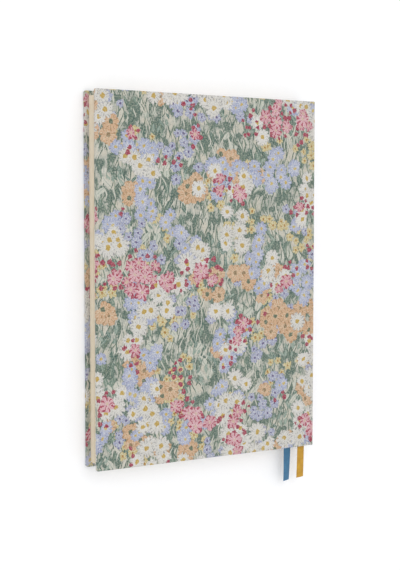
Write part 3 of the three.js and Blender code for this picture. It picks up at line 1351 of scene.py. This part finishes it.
def spine_profile(steps: int = 10) -> list[tuple[Pair, Pair]]:
    """Outer face of the cloth from the joint to the middle of the spine.

    Args:
        steps: Faces of the shoulder, and of the corner.

    Returns:
        Each point in X and Z with the way out there.
    """
    s = SIZES
    centre = (s.back_x - s.spine_corner, s.shoulder_drop + s.spine_corner)
    climb = s.groove_depth - s.shoulder_drop
    line = [((s.fold_x + s.gap / 2, s.groove_depth), (0.0, -1.0))]
    for i in range(steps + 1):
        t = i / steps
        slope = climb * math.pi / 2 * math.sin(math.pi * t) / s.spine_shoulder
        way = Vector((-slope, -1.0)).normalized()
        rise = climb * (1 - math.cos(math.pi * t)) / 2
        place = (s.fold_x + s.gap + s.spine_shoulder * t, s.groove_depth - rise)
        line.append((place, (way.x, way.y)))
    for i in range(steps + 1):
        a = -math.pi / 2 + math.pi / 2 * i / steps
        way = (math.cos(a), math.sin(a))
        place = (centre[0] + s.spine_corner * way[0], centre[1] + s.spine_corner * way[1])
        line.append((place, way))
    return line + [((s.back_x, z), (1.0, 0.0)) for z in (*s.spine_levels, s.thickness / 2)]


def spine_run() -> float:
    """Length of the cloth from the joint to the middle of the spine, in millimetres."""
    line = [point for point, _ in spine_profile()]
    return sum(math.dist(a, b) for a, b in zip(line, line[1:]))


@dataclass
class CaseCloth:
    """Printed linen of the case, in four pieces that meet where they don't bend."""

    material: bpy.types.Material
    joint_step: float = 0.25
    joint_steps: int = 24
    board_steps: Triple = (0.5, 2.0, 8.0)
    cover_xs: tuple[float, ...] = (20.0, -20.0, -50.0, -60.5, -68.0)
    corner_steps: int = 8
    joint_thinning: float = 0.85
    thinning_run: float = 2.4
    spine_face_x: float = 75.0
    spine_edge_radius: float = 0.6
    spine_wrap: float = 0.65
    board_wrap: float = 1.25
    board_edge: Pair = (1.05, 0.5)
    spine_bend: tuple[Pair, Pair] = ((73.2, 0.45), (75.4, 0.9))

    def outline(self) -> list[tuple[Pair, Pair]]:
        """Edge of a cover's cloth at the head, from the spine to the fore edge.

        Returns:
            Each point in X and Y with the way out there.
        """
        s = SIZES
        seam = s.fold_x + s.gap / 2
        corner_x, corner_y = s.fore_x + s.corner_radius, s.cover_y - s.corner_radius
        xs = [seam - self.joint_step * i for i in range(self.joint_steps)]
        xs += [s.board_back_x - step for step in self.board_steps]
        line = [((x, s.cover_y), (0.0, 1.0)) for x in (*xs, *self.cover_xs, corner_x)]
        for i in range(1, self.corner_steps + 1):
            a = math.pi / 2 + math.pi / 2 * i / self.corner_steps
            way = (math.cos(a), math.sin(a))
            place = (corner_x + s.corner_radius * way[0], corner_y + s.corner_radius * way[1])
            line.append((place, way))
        return line

    def cover(self, side: Side) -> bpy.types.Object:
        """Makes the cloth of one cover, from its fore edge across the joint.

        Args:
            side: Front or back.

        Returns:
            The piece.
        """
        s = SIZES
        sign = side.value
        from_middle = spine_run() + s.fold_x + s.gap / 2
        stations = []
        for (x, y), (out_x, out_y) in self.outline():
            outer = groove(x)
            beyond_board = smoothstep((x - s.board_back_x) / self.thinning_run)
            inner = s.turn_in_top - self.joint_thinning * beyond_board
            flap_x = max(x, s.fore_x + s.turn_in)
            stations.append(
                Station(
                    place=(x, y, s.depth(side, outer)),
                    out=(out_x, out_y, 0.0),
                    inward=(0.0, 0.0, float(sign)),
                    depth=inner - outer,
                    flap_end=(flap_x, min(y, s.cover_y - s.turn_in), s.depth(side, inner)),
                    across=-sign * (from_middle - x),
                    across_out=sign * out_x,
                )
            )
        name = side.name.lower()
        piece = Loft(stations, s.edge_radius).build(
            f"{name}_cover_linen", self.material, s.cloth, (0.0, 0.0, -float(sign))
        )
        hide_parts(f"{name}_cloth", f"{name}_joint_cloth")
        at = s.depth(side, s.groove_depth) * MM
        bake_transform(piece)
        LOG.info("cloth of the %s cover", name)
        return piece

    def spine(self, side: Side) -> bpy.types.Object:
        """Makes the cloth of half the spine, from the joint to the spine's middle.

        Args:
            side: The half by the front or the back cover.

        Returns:
            The piece.
        """
        s = SIZES
        sign = side.value
        whole = spine_run()
        board_z, board_rise = self.board_edge
        run, before = 0.0, None
        stations = []
        for (x, z), (out_x, out_z) in spine_profile():
            if before is not None:
                run += math.dist(before, (x, z))
            before = (x, z)
            # The board's lower edge stands where the cloth has turned up the spine.
            on_board = smoothstep((z - board_z) / board_rise) if x > self.spine_face_x else 0.0
            wrap = self.spine_wrap + self.board_wrap * on_board
            stations.append(
                Station(
                    place=(x, s.cover_y, s.depth(side, z)),
                    out=(0.0, 1.0, 0.0),
                    inward=(-out_x, 0.0, -out_z * sign),
                    depth=wrap,
                    flap_end=(
                        x - out_x * wrap,
                        s.cover_y - s.turn_in,
                        s.depth(side, z - out_z * wrap),
                    ),
                    across=-sign * (whole - run),
                )
            )
        name = side.name.lower()
        piece = Loft(stations, self.spine_edge_radius).build(
            f"spine_linen_{name}", self.material, s.cloth, (0.0, 0.0, -float(sign))
        )
        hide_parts("spine_cloth")
        joint, board = ((x * MM, 0, s.depth(side, z) * MM) for x, z in self.spine_bend)
        if side is Side.FRONT:
            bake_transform(piece)
        else:
            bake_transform(piece)
        LOG.info("cloth of the spine, %s half", name)
        return piece


@dataclass
class Endpapers:
    """Pastedown and hinge of each endpaper, pressed over the turned-in cloth."""

    material: bpy.types.Material
    sink: float = 0.1
    sink_run: float = 1.2
    joint_sink: float = 0.32
    joint_lead: float = 0.6
    joint_lead_run: float = 2.2
    joint_end_run: float = 1.8
    sink_step: float = 0.3
    sink_steps: int = 5
    joint_from: float = 66.5
    joint_step: float = 0.25
    joint_steps: int = 26
    flat_xs: tuple[float, ...] = (-40.0, 0.0, 40.0, 60.0)
    flat_ys: Pair = (60.0, 20.0)
    bend_z: float = 2.3

    def relief(self, x: float, y: float) -> float:
        """How far the sheet sinks off the turned-in cloth or into the joint.

        Args:
            x: The place across the cover, in millimetres.
            y: The place along the cover, in millimetres.

        Returns:
            The depth in millimetres.
        """
        s = SIZES
        inside_x = smoothstep((x - (s.fore_x + s.turn_in)) / self.sink_run)
        inside_y = smoothstep((s.cover_y - s.turn_in - abs(y)) / self.sink_run)
        lead = smoothstep((x - s.board_back_x + self.joint_lead) / self.joint_lead_run)
        joint = lead * smoothstep((s.fold_x - x) / self.joint_end_run)
        return max(self.sink * inside_x * inside_y, self.joint_sink * joint)

    def build(self, side: Side) -> bpy.types.Object:
        """Makes one sheet.

        Args:
            side: Front or back.

        Returns:
            The piece.
        """
        s = SIZES
        cut_x, cut_y = s.fore_x + s.turn_in, s.cover_y - s.turn_in
        sinking = [self.sink_step * i for i in range(self.sink_steps)]
        joint = [self.joint_from + self.joint_step * i for i in range(self.joint_steps)]
        xs = [s.fore_x + s.pastedown_inset, -68.0, cut_x - 0.1]
        xs += [*(cut_x + step for step in sinking), *self.flat_xs, *joint, s.fold_x]
        ys = [s.leaf_y, cut_y + 0.1, *(cut_y - step for step in sinking), *self.flat_ys]
        ys += [-y for y in reversed(ys)]
        top = s.pastedown_z + s.endpaper
        uvs = [(x, y) for x in xs for y in ys]
        points = [(x, y, s.depth(side, top - self.relief(x, y))) for x, y in uvs]
        name = side.name.lower()
        faces = grid_faces(len(xs), len(ys))
        piece = mesh_piece(f"{name}_endpaper_sheet", points, faces, self.material, uvs)
        if piece.data.polygons[0].normal.z * side.value < 0:
            piece.data.flip_normals()
        thicken(piece, s.endpaper, -1.0)
        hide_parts(f"{name}_pastedown", f"{name}_endpaper_hinge")
        at = s.depth(side, self.bend_z) * MM
        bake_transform(piece)
        LOG.info("endpaper of the %s cover", name)
        return piece


@dataclass
class LooseLeaf:
    """A loose leaf, which turns on its own in the notebook: a flat sheet with its points closer
    together beside the fold.
    """

    name: str
    material: bpy.types.Material
    holder: str
    height: float
    thickness: float
    bend: float
    slot: str
    held_xs: Pair = (72.95, 72.5)
    free_x: float = 72.0
    bend_steps: int = 20
    flat_xs: tuple[float, ...] = (50.0, 20.0, -20.0, -50.0)
    flat_y: float = 35.0

    def build(self) -> bpy.types.Object:
        """Makes the leaf.

        Returns:
            The piece.
        """
        s = SIZES
        bent = [self.free_x - self.bend * i / self.bend_steps for i in range(self.bend_steps + 1)]
        xs = [*self.held_xs, *bent, *self.flat_xs, s.leaf_fore_x]
        ys = [-s.leaf_y, -self.flat_y, self.flat_y, s.leaf_y]
        points = [(x, y, self.height) for x in xs for y in ys]
        faces = grid_faces(len(xs), len(ys))
        piece = mesh_piece(f"{self.name}_sheet", points, faces, self.material)
        thicken(piece, self.thickness, 0.0)
        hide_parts(self.name)
        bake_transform(piece)
        LOG.info("loose leaf %s", self.name)
        return piece


@dataclass
class GeometryTree:
    """A Geometry Nodes tree with named inputs, run once to make a plain mesh."""

    name: str
    sockets: dict[str, tuple[str, Any]]
    tree: bpy.types.NodeTree = field(init=False)
    inputs: bpy.types.Node = field(init=False)
    identifiers: dict[str, str] = field(init=False, default_factory=dict)

    def __post_init__(self) -> None:
        """Makes the tree's sockets and its group input."""
        self.tree = bpy.data.node_groups.new(self.name, "GeometryNodeTree")
        self.tree.interface.new_socket(
            "Geometry", in_out="OUTPUT", socket_type="NodeSocketGeometry"
        )
        for label, (kind, value) in self.sockets.items():
            socket = self.tree.interface.new_socket(label, in_out="INPUT", socket_type=kind)
            if value is not None:
                socket.default_value = value
            self.identifiers[label] = socket.identifier
        self.inputs = self.tree.nodes.new("NodeGroupInput")

    def finish(self, geometry: bpy.types.Node) -> None:
        """Ends the tree: real geometry, with its material.

        Args:
            geometry: The node that gives the finished shape.
        """
        real = add(self.tree, "GeometryNodeRealizeInstances", {0: geometry})
        dressed = add(
            self.tree,
            "GeometryNodeSetMaterial",
            {"Geometry": real, "Material": self.inputs.outputs["Material"]},
        )
        add(self.tree, "NodeGroupOutput", {0: dressed})

    def make(self, name: str, values: dict[str, Any]) -> bpy.types.Object:
        """Makes a piece.

        Args:
            name: The piece's name.
            values: The tree's inputs by label.

        Returns:
            The piece, a plain mesh.
        """
        piece = bpy.data.objects.new(name, bpy.data.meshes.new(name))
        bpy.context.collection.objects.link(piece)
        modifier = piece.modifiers.new("nodes", "NODES")
        modifier.node_group = self.tree
        for label, value in values.items():
            modifier[self.identifiers[label]] = value
        apply_modifiers(piece)
        return piece


@dataclass
class SewnSections:
    """Sections of folded sheets, nested in one another and trimmed at three edges."""

    material: bpy.types.Material
    sheet: float = 0.082
    fold_share: float = 0.5
    samples: int = 25
    behind_ribbon: int = 2

    def tree(self) -> GeometryTree:
        """Builds the nodes that fold and nest the sheets.

        Each sheet is a grid that spans -1 to 1: the fold takes its middle, and the leaves
        the rest of each side.

        Returns:
            The tree.
        """
        made = GeometryTree(
            "nested_folded_sheets",
            {
                "Sheets": ("NodeSocketInt", 6),
                "Leaf": ("NodeSocketFloat", 0.0001),
                "Width": ("NodeSocketFloat", 0.145),
                "Height": ("NodeSocketFloat", 0.21),
                "Fold": ("NodeSocketVector", None),
                "Material": ("NodeSocketMaterial", None),
            },
        )
        tree, given = made.tree, made.inputs.outputs
        sheet = add(
            tree,
            "GeometryNodeMeshGrid",
            {"Size X": 2.0, "Size Y": given["Height"], "Vertices X": self.samples, "Vertices Y": 2},
        )
        stack = add(
            tree,
            "GeometryNodeMeshLine",
            {"Count": given["Sheets"], "Offset": (0.0, 0.0, 1.0)},
        )
        copies = add(
            tree, "GeometryNodeInstanceOnPoints", {"Points": stack, "Instance": sheet.outputs[0]}
        )
        real = add(tree, "GeometryNodeRealizeInstances", {0: copies})
        place = add(tree, "ShaderNodeSeparateXYZ", {0: add(tree, "GeometryNodeInputPosition")})
        # The middle of the innermost leaf lies half its thickness off the fold's centre.
        number = add(tree, "ShaderNodeMath", {0: place.outputs[2], 1: 0.5})
        height = add(
            tree, "ShaderNodeMath", {0: number, 1: given["Leaf"]}, operation="MULTIPLY"
        )
        run = add(tree, "ShaderNodeMath", {0: place.outputs[0]}, operation="ABSOLUTE")
        side = add(tree, "ShaderNodeMath", {0: place.outputs[0]}, operation="SIGN")
        turn = add(
            tree,
            "ShaderNodeMapRange",
            {
                "Value": run,
                "From Min": 0.0,
                "From Max": self.fold_share,
                "To Max": math.pi / 2,
            },
        )
        straight = add(
            tree,
            "ShaderNodeMapRange",
            {"Value": run, "From Min": self.fold_share, "From Max": 1.0},
        )
        cosine = add(tree, "ShaderNodeMath", {0: turn}, operation="COSINE")
        sine = add(tree, "ShaderNodeMath", {0: turn}, operation="SINE")
        bulge = add(tree, "ShaderNodeMath", {0: cosine, 1: height}, operation="MULTIPLY")
        back = add(
            tree, "ShaderNodeMath", {0: straight, 1: given["Width"]}, operation="MULTIPLY"
        )
        x = add(tree, "ShaderNodeMath", {0: bulge, 1: back}, operation="SUBTRACT")
        rise = add(tree, "ShaderNodeMath", {0: sine, 1: height}, operation="MULTIPLY")
        z = add(tree, "ShaderNodeMath", {0: rise, 1: side}, operation="MULTIPLY")
        point = add(tree, "ShaderNodeCombineXYZ", {0: x, 1: place.outputs[1], 2: z})
        moved = add(tree, "ShaderNodeVectorMath", {0: point, 1: given["Fold"]})
        folded = add(
            tree, "GeometryNodeSetPosition", {"Geometry": real, "Position": moved}
        )
        made.finish(folded)
        return made

    def heights(self) -> list[tuple[int, float]]:
        """Heights of the sections, which make room for the mustard ribbon at the back.

        Returns:
            Number and lowest height of each section, in millimetres.
        """
        s = SIZES
        pitch = s.section + s.gap
        count = s.sections_per_side
        front = [(i + 1, s.sections_z + i * pitch) for i in range(count)]
        back = []
        for i in range(count):
            ribbon = 0.0 if i < self.behind_ribbon else s.ribbon_thickness + s.gap
            inner = s.sections_z + i * pitch + ribbon
            back.append((2 * count - i, s.thickness - inner - s.section))
        return front + back

    def build(self) -> list[bpy.types.Object]:
        """Makes the sections.

        Returns:
            The pieces.
        """
        s = SIZES
        made = self.tree()
        centre = s.fold_x - s.section / 2
        ends = {1: "front_half", 2 * s.sections_per_side: "back_half"}
        pieces = []
        for number, low in self.heights():
            piece = made.make(
                f"section_{number}_sheets",
                {
                    "Sheets": s.folded_sheets,
                    "Leaf": s.section / (2 * s.folded_sheets) * MM,
                    "Width": (centre - s.leaf_fore_x) * MM,
                    "Height": s.leaf_height * MM,
                    "Fold": (centre * MM, 0.0, (low + s.section / 2) * MM),
                    "Material": self.material,
                },
            )
            thicken(piece, self.sheet, 0.0)
            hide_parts(f"section_{number}")
            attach(piece, ends.get(number, f"section_{number}"))
            pieces.append(piece)
            LOG.info("section %d", number)
        return pieces


@dataclass
class Headbands:
    """Silk wound round a core at each end of the spine, on a tape glued to the folds."""

    material: bpy.types.Material
    bead: float = 0.6
    silk: float = 0.26
    end_gap: float = 0.1
    core_sides: int = 18
    silk_sides: int = 8
    bead_x: float = 72.6
    bead_y: float = 105.65
    tape_inner_y: float = 96.05
    tape_x: Pair = (73.05, 73.2)

    def tree(self) -> GeometryTree:
        """Builds the nodes that wind the silk round its core and add the tape.

        Returns:
            The tree.
        """
        made = GeometryTree(
            "wound_headband",
            {
                "Turns": ("NodeSocketInt", 40),
                "Pitch": ("NodeSocketVector", None),
                "Radius": ("NodeSocketFloat", 0.0005),
                "Silk": ("NodeSocketFloat", 0.0001),
                "Start": ("NodeSocketVector", None),
                "Core": ("NodeSocketVector", None),
                "Length": ("NodeSocketFloat", 0.01),
                "Tape": ("NodeSocketVector", None),
                "Tape Size": ("NodeSocketVector", None),
                "Material": ("NodeSocketMaterial", None),
            },
        )
        tree, given = made.tree, made.inputs.outputs
        line = add(
            tree,
            "GeometryNodeMeshLine",
            {
                "Count": given["Turns"],
                "Start Location": given["Start"],
                "Offset": given["Pitch"],
            },
        )
        round_core, strand = (
            add(
                tree,
                "GeometryNodeCurvePrimitiveCircle",
                {"Resolution": sides, "Radius": given[radius]},
            )
            for sides, radius in ((self.core_sides, "Radius"), (self.silk_sides, "Silk"))
        )
        turn = add(
            tree,
            "GeometryNodeCurveToMesh",
            {"Curve": round_core.outputs[0], "Profile Curve": strand.outputs[0]},
        )
        wound = add(tree, "GeometryNodeInstanceOnPoints", {"Points": line, "Instance": turn})
        core = add(
            tree,
            "GeometryNodeMeshCylinder",
            {
                "Vertices": self.core_sides,
                "Radius": given["Radius"],
                "Depth": given["Length"],
            },
        )
        tape = add(tree, "GeometryNodeMeshCube", {"Size": given["Tape Size"]})
        joined = add(tree, "GeometryNodeJoinGeometry", {0: wound})
        for shape, place in ((core, "Core"), (tape, "Tape")):
            moved = add(
                tree,
                "GeometryNodeTransform",
                {"Geometry": shape.outputs[0], "Translation": given[place]},
            )
            tree.links.new(moved.outputs[0], joined.inputs[0])
        made.finish(joined)
        return made

    def build(self) -> None:
        """Makes the headband and the tailband."""
        s = SIZES
        made = self.tree()
        low, high = s.sections_z, s.thickness - s.sections_z
        middle_z = s.thickness / 2
        turns = int((high - low - self.silk) / self.silk)
        inner_x, outer_x = self.tape_x
        for end, name in ((1, "headband"), (-1, "tailband")):
            y = end * self.bead_y
            tape_y = end * (self.bead_y + self.tape_inner_y) / 2
            tape_length = self.bead_y - self.tape_inner_y
            piece = made.make(
                f"{name}_wound",
                {
                    "Turns": turns + 1,
                    "Pitch": (0.0, 0.0, (high - low - self.silk) / turns * MM),
                    "Radius": (self.bead - self.silk / 2) * MM,
                    "Silk": self.silk / 2 * MM,
                    "Start": (self.bead_x * MM, y * MM, (low + self.silk / 2) * MM),
                    "Core": (self.bead_x * MM, y * MM, middle_z * MM),
                    "Length": (high - low - self.end_gap) * MM,
                    "Tape": ((inner_x + outer_x) / 2 * MM, tape_y * MM, middle_z * MM),
                    "Tape Size": (
                        (outer_x - inner_x) * MM,
                        tape_length * MM,
                        (high - low) * MM,
                    ),
                    "Material": self.material,
                },
            )
            smooth(piece)
            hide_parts(name)
            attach(piece, "spine")
            LOG.info("%s", name)


@dataclass
class Ribbon:
    """A register ribbon: sewn in at the head, down between the leaves and out of the tail."""

    name: str
    material: bpy.types.Material
    holder: str
    exit_x: float
    height: float
    tail: float
    root_x: float = 69.2
    head_y: float = 104.0
    bend_y: float = -52.5
    hinge_end_y: float = -109.2
    droop: float = 0.8
    slant: float = 0.5
    slant_run: float = 14.0
    twist: float = 0.0
    twist_from: float = 3.0
    crown: float = 0.15
    crown_from: float = 2.0
    crown_run: float = 8.0
    cloth_share: float = 0.9
    held_step: float = 5.0
    exit_gap: float = 0.1
    exit_step: float = 0.4
    exit_steps: int = 11
    tail_steps: int = 14
    samples_across: int = 9

    def line(self) -> list[Triple]:
        """Middle of the ribbon's underside, from the head to the tip.

        Returns:
            The points in millimetres.
        """
        s = SIZES
        tip = -s.leaf_y - self.tail
        start = -s.leaf_y - self.exit_gap
        held = int((self.head_y + s.leaf_y) / self.held_step) + 1
        ys = [self.head_y - self.held_step * i for i in range(held)]
        ys += [start - self.exit_step * i for i in range(1, self.exit_steps + 1)]
        last = ys[-1]
        ys += [last + (tip - last) * i / self.tail_steps for i in range(1, self.tail_steps + 1)]
        points = []
        for y in ys:
            down = min((self.head_y - y) / (self.head_y - self.bend_y), 1.0)
            x = self.root_x + (self.exit_x - self.root_x) * down
            out = min(max((start - y) / (start - tip), 0.0), 1.0)
            points.append((x, y, self.height - self.droop * out * out))
        return points

    def build(self) -> bpy.types.Object:
        """Makes the ribbon.

        Returns:
            The piece.
        """
        s = SIZES
        line = self.line()
        half = s.ribbon_width / 2
        tip = -s.leaf_y - self.tail
        points, uvs = [], []
        run = 0.0
        for i, (x, y, z) in enumerate(line):
            if i:
                run += math.dist(line[i - 1], line[i])
            # The slanted cut is shared out over the last stretch of the ribbon.
            slanted = smoothstep((tip + self.slant_run - y) / self.slant_run)
            free = -s.leaf_y - y
            loose = smoothstep((free - self.twist_from) / (self.tail - self.twist_from))
            crown = self.crown * smoothstep((free - self.crown_from) / self.crown_run)
            turn = math.radians(self.twist) * loose
            for j in range(self.samples_across):
                t = 2 * j / (self.samples_across - 1) - 1
                rise = s.ribbon_thickness - crown * t * t + half * t * math.sin(turn)
                cut = slanted * self.slant * (t + 1) / 2
                points.append((x + half * t * math.cos(turn), y + cut, z + rise))
                uvs.append((half * t, run))
        faces = grid_faces(len(line), self.samples_across)
        piece = mesh_piece(f"{self.name}_ribbon", points, faces, self.material, uvs, WEAVE_MAP)
        if piece.data.polygons[0].normal.z < 0:
            piece.data.flip_normals()
        thicken(piece, s.ribbon_thickness * self.cloth_share, -1.0)
        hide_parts(f"{self.name}_ribbon_held", f"{self.name}_ribbon_tail")
        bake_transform(piece)
        return piece


@dataclass
class Studio:
    """Pale floor, soft light and the photograph's camera.

    The eye is in millimetres, and the lamp's place, side and power are in metres and watts.
    """

    focal_px: float = 1136.41
    long_side_px: float = 570.0
    sensor: float = 36.0
    eye: Triple = (-347.49, 37.67, 594.6)
    forward: Triple = (0.50535, -0.0617, -0.8607)
    up: Triple = (0.03082, 0.99809, -0.05346)
    floor_half: float = 3000.0
    floor_z: float = -0.05
    floor_colour: Triple = (0.86, 0.86, 0.87)
    floor_lift: float = 0.15
    sky_colour: Triple = (0.98, 0.99, 1.0)
    sky_strength: float = 0.9
    lamp_place: Triple = (-0.2, 0.4, 1.3)
    lamp_side: float = 1.0
    lamp_power: float = 4.2

    def camera(self) -> None:
        """Places the camera."""
        data = bpy.data.cameras.new("camera")
        data.lens = self.focal_px * self.sensor / self.long_side_px
        data.clip_start = 0.01
        forward = Vector(self.forward).normalized()
        right = forward.cross(Vector(self.up)).normalized()
        up = right.cross(forward)
        turn = Matrix((right, up, -forward)).transposed().to_4x4()
        camera = bpy.data.objects.new("camera", data)
        camera.matrix_world = Matrix.Translation(Vector(self.eye) * MM) @ turn
        bpy.context.collection.objects.link(camera)
        bpy.context.scene.camera = camera

    def lamp(self) -> None:
        """Adds a square soft lamp that looks at the notebook."""
        data = bpy.data.lights.new("key", "AREA")
        data.size = self.lamp_side
        data.energy = self.lamp_power
        lamp = bpy.data.objects.new("key", data)
        lamp.location = self.lamp_place
        lamp.rotation_euler = Vector(self.lamp_place).to_track_quat("Z", "Y").to_euler()
        bpy.context.collection.objects.link(lamp)

    def floor(self) -> None:
        """Adds a matt white floor that keeps the notebook's shadow."""
        material, tree = new_material("white_floor")
        paint = add(tree, "ShaderNodeBsdfDiffuse", {"Color": (*self.floor_colour, 1.0)})
        path = add(tree, "ShaderNodeLightPath")
        seen = add(
            tree,
            "ShaderNodeMath",
            {0: path.outputs["Is Camera Ray"], 1: path.outputs["Is Glossy Ray"]},
            operation="MAXIMUM",
        )
        lift = add(
            tree, "ShaderNodeMath", {0: seen, 1: self.floor_lift}, operation="MULTIPLY"
        )
        glow = add(tree, "ShaderNodeEmission", {"Color": (1, 1, 1, 1), "Strength": lift})
        both = add(tree, "ShaderNodeAddShader", {0: paint, 1: glow})
        add(tree, "ShaderNodeOutputMaterial", {"Surface": both})
        half = self.floor_half
        corners = ((-half, -half), (half, -half), (half, half), (-half, half))
        points = [(x, y, self.floor_z) for x, y in corners]
        floor = mesh_piece("floor", points, [[0, 1, 2, 3]], material)
        floor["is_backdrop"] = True
        self.settle(floor)

    def settle(self, floor: bpy.types.Object) -> None:
        """Lowers the floor with the notebook's lowest point, so that it hides no piece in a pose.

        Args:
            floor: The floor, at its height under the notebook at rest.
        """
        tree = bpy.data.node_groups.new("floor_below_notebook", "GeometryNodeTree")
        for way in ("INPUT", "OUTPUT"):
            tree.interface.new_socket("Geometry", in_out=way, socket_type="NodeSocketGeometry")
        given = add(tree, "NodeGroupInput")
        notebook = add(tree, "GeometryNodeJoinGeometry")
        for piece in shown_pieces():
            shape = add(
                tree, "GeometryNodeObjectInfo", {"Object": piece}, transform_space="RELATIVE"
            )
            tree.links.new(shape.outputs["Geometry"], notebook.inputs[0])
        box = add(tree, "GeometryNodeBoundBox", {"Geometry": notebook})
        lowest = add(tree, "ShaderNodeSeparateXYZ", {0: box.outputs["Min"]})
        drop = add(
            tree, "ShaderNodeMath", {0: lowest.outputs["Z"], 1: 0.0}, operation="MINIMUM"
        )
        shift = add(tree, "ShaderNodeCombineXYZ", {"Z": drop})
        moved = add(
            tree, "GeometryNodeSetPosition", {"Geometry": given.outputs[0], "Offset": shift}
        )
        add(tree, "NodeGroupOutput", {0: moved})
        floor.modifiers.new("settle", "NODES").node_group = tree

    def world(self) -> None:
        """Lights the room evenly."""
        world = bpy.data.worlds.new("studio")
        bpy.context.scene.world = world
        world.use_nodes = True
        tree = world.node_tree
        tree.nodes.clear()
        sky = add(
            tree,
            "ShaderNodeBackground",
            {"Color": (*self.sky_colour, 1.0), "Strength": self.sky_strength},
        )
        add(tree, "ShaderNodeOutputWorld", {"Surface": sky})

    def build(self) -> None:
        """Sets up the studio."""
        self.camera()
        self.floor()
        self.world()
        self.lamp()
        bpy.context.scene.view_settings.view_transform = "Standard"


def loose_leaves(finishes: Materials) -> list[LooseLeaf]:
    """Lists the leaves that turn on their own: a flyleaf and a middle leaf on each side.

    Args:
        finishes: The notebook's finishes.

    Returns:
        The leaves, not yet built.
    """
    s = SIZES
    leaves = []
    for side, middle_z, section in zip(Side, s.middle_leaf_z, ("section_4", "section_5")):
        name = side.name.lower()
        leaves += [
            LooseLeaf(
                f"{name}_flyleaf",
                finishes.endpaper,
                holder=f"{name}_half",
                height=s.depth(side, s.flyleaf_z),
                thickness=s.endpaper,
                bend=s.flyleaf_bend,
                slot="endpaper",
            ),
            LooseLeaf(
                f"{name}_middle_leaf",
                finishes.paper,
                holder=section,
                height=middle_z,
                thickness=s.middle_leaf,
                bend=s.middle_leaf_bend,
                slot="paper",
            ),
        ]
    return leaves


def main() -> None:
    """Builds the notebook's looks over its frame."""
    logging.basicConfig(level=logging.INFO, format="%(message)s")
    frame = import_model()
    finishes = Materials()
    ribbons = (
        Ribbon("blue", finishes.blue, "section_4", exit_x=61.2, height=7.57, tail=26.0, twist=-12),
        Ribbon("mustard", finishes.mustard, "section_7", exit_x=69.5, height=10.67, tail=24.3, twist=3),
    )
    for ribbon in ribbons:
        ribbon.build()
    case = CaseCloth(finishes.linen)
    for side in Side:
        case.cover(side)
        case.spine(side)
        Endpapers(finishes.endpaper).build(side)
    for leaf in loose_leaves(finishes):
        leaf.build()
    SewnSections(finishes.paper).build()
    Headbands(finishes.headband).build()
    dress_nodes(frame, ["front_board", "back_board", "spine_board"], finishes.greyboard)
    dress_nodes(frame, ["spine_mull"], finishes.mull)
    dress_nodes(frame, ["spine_kraft_lining"], finishes.kraft)
    dress_nodes(frame, [f"sewing_stitch_{i}" for i in range(1, 6)], finishes.thread)
    Studio().build()


if __name__ == "__main__":
    main()
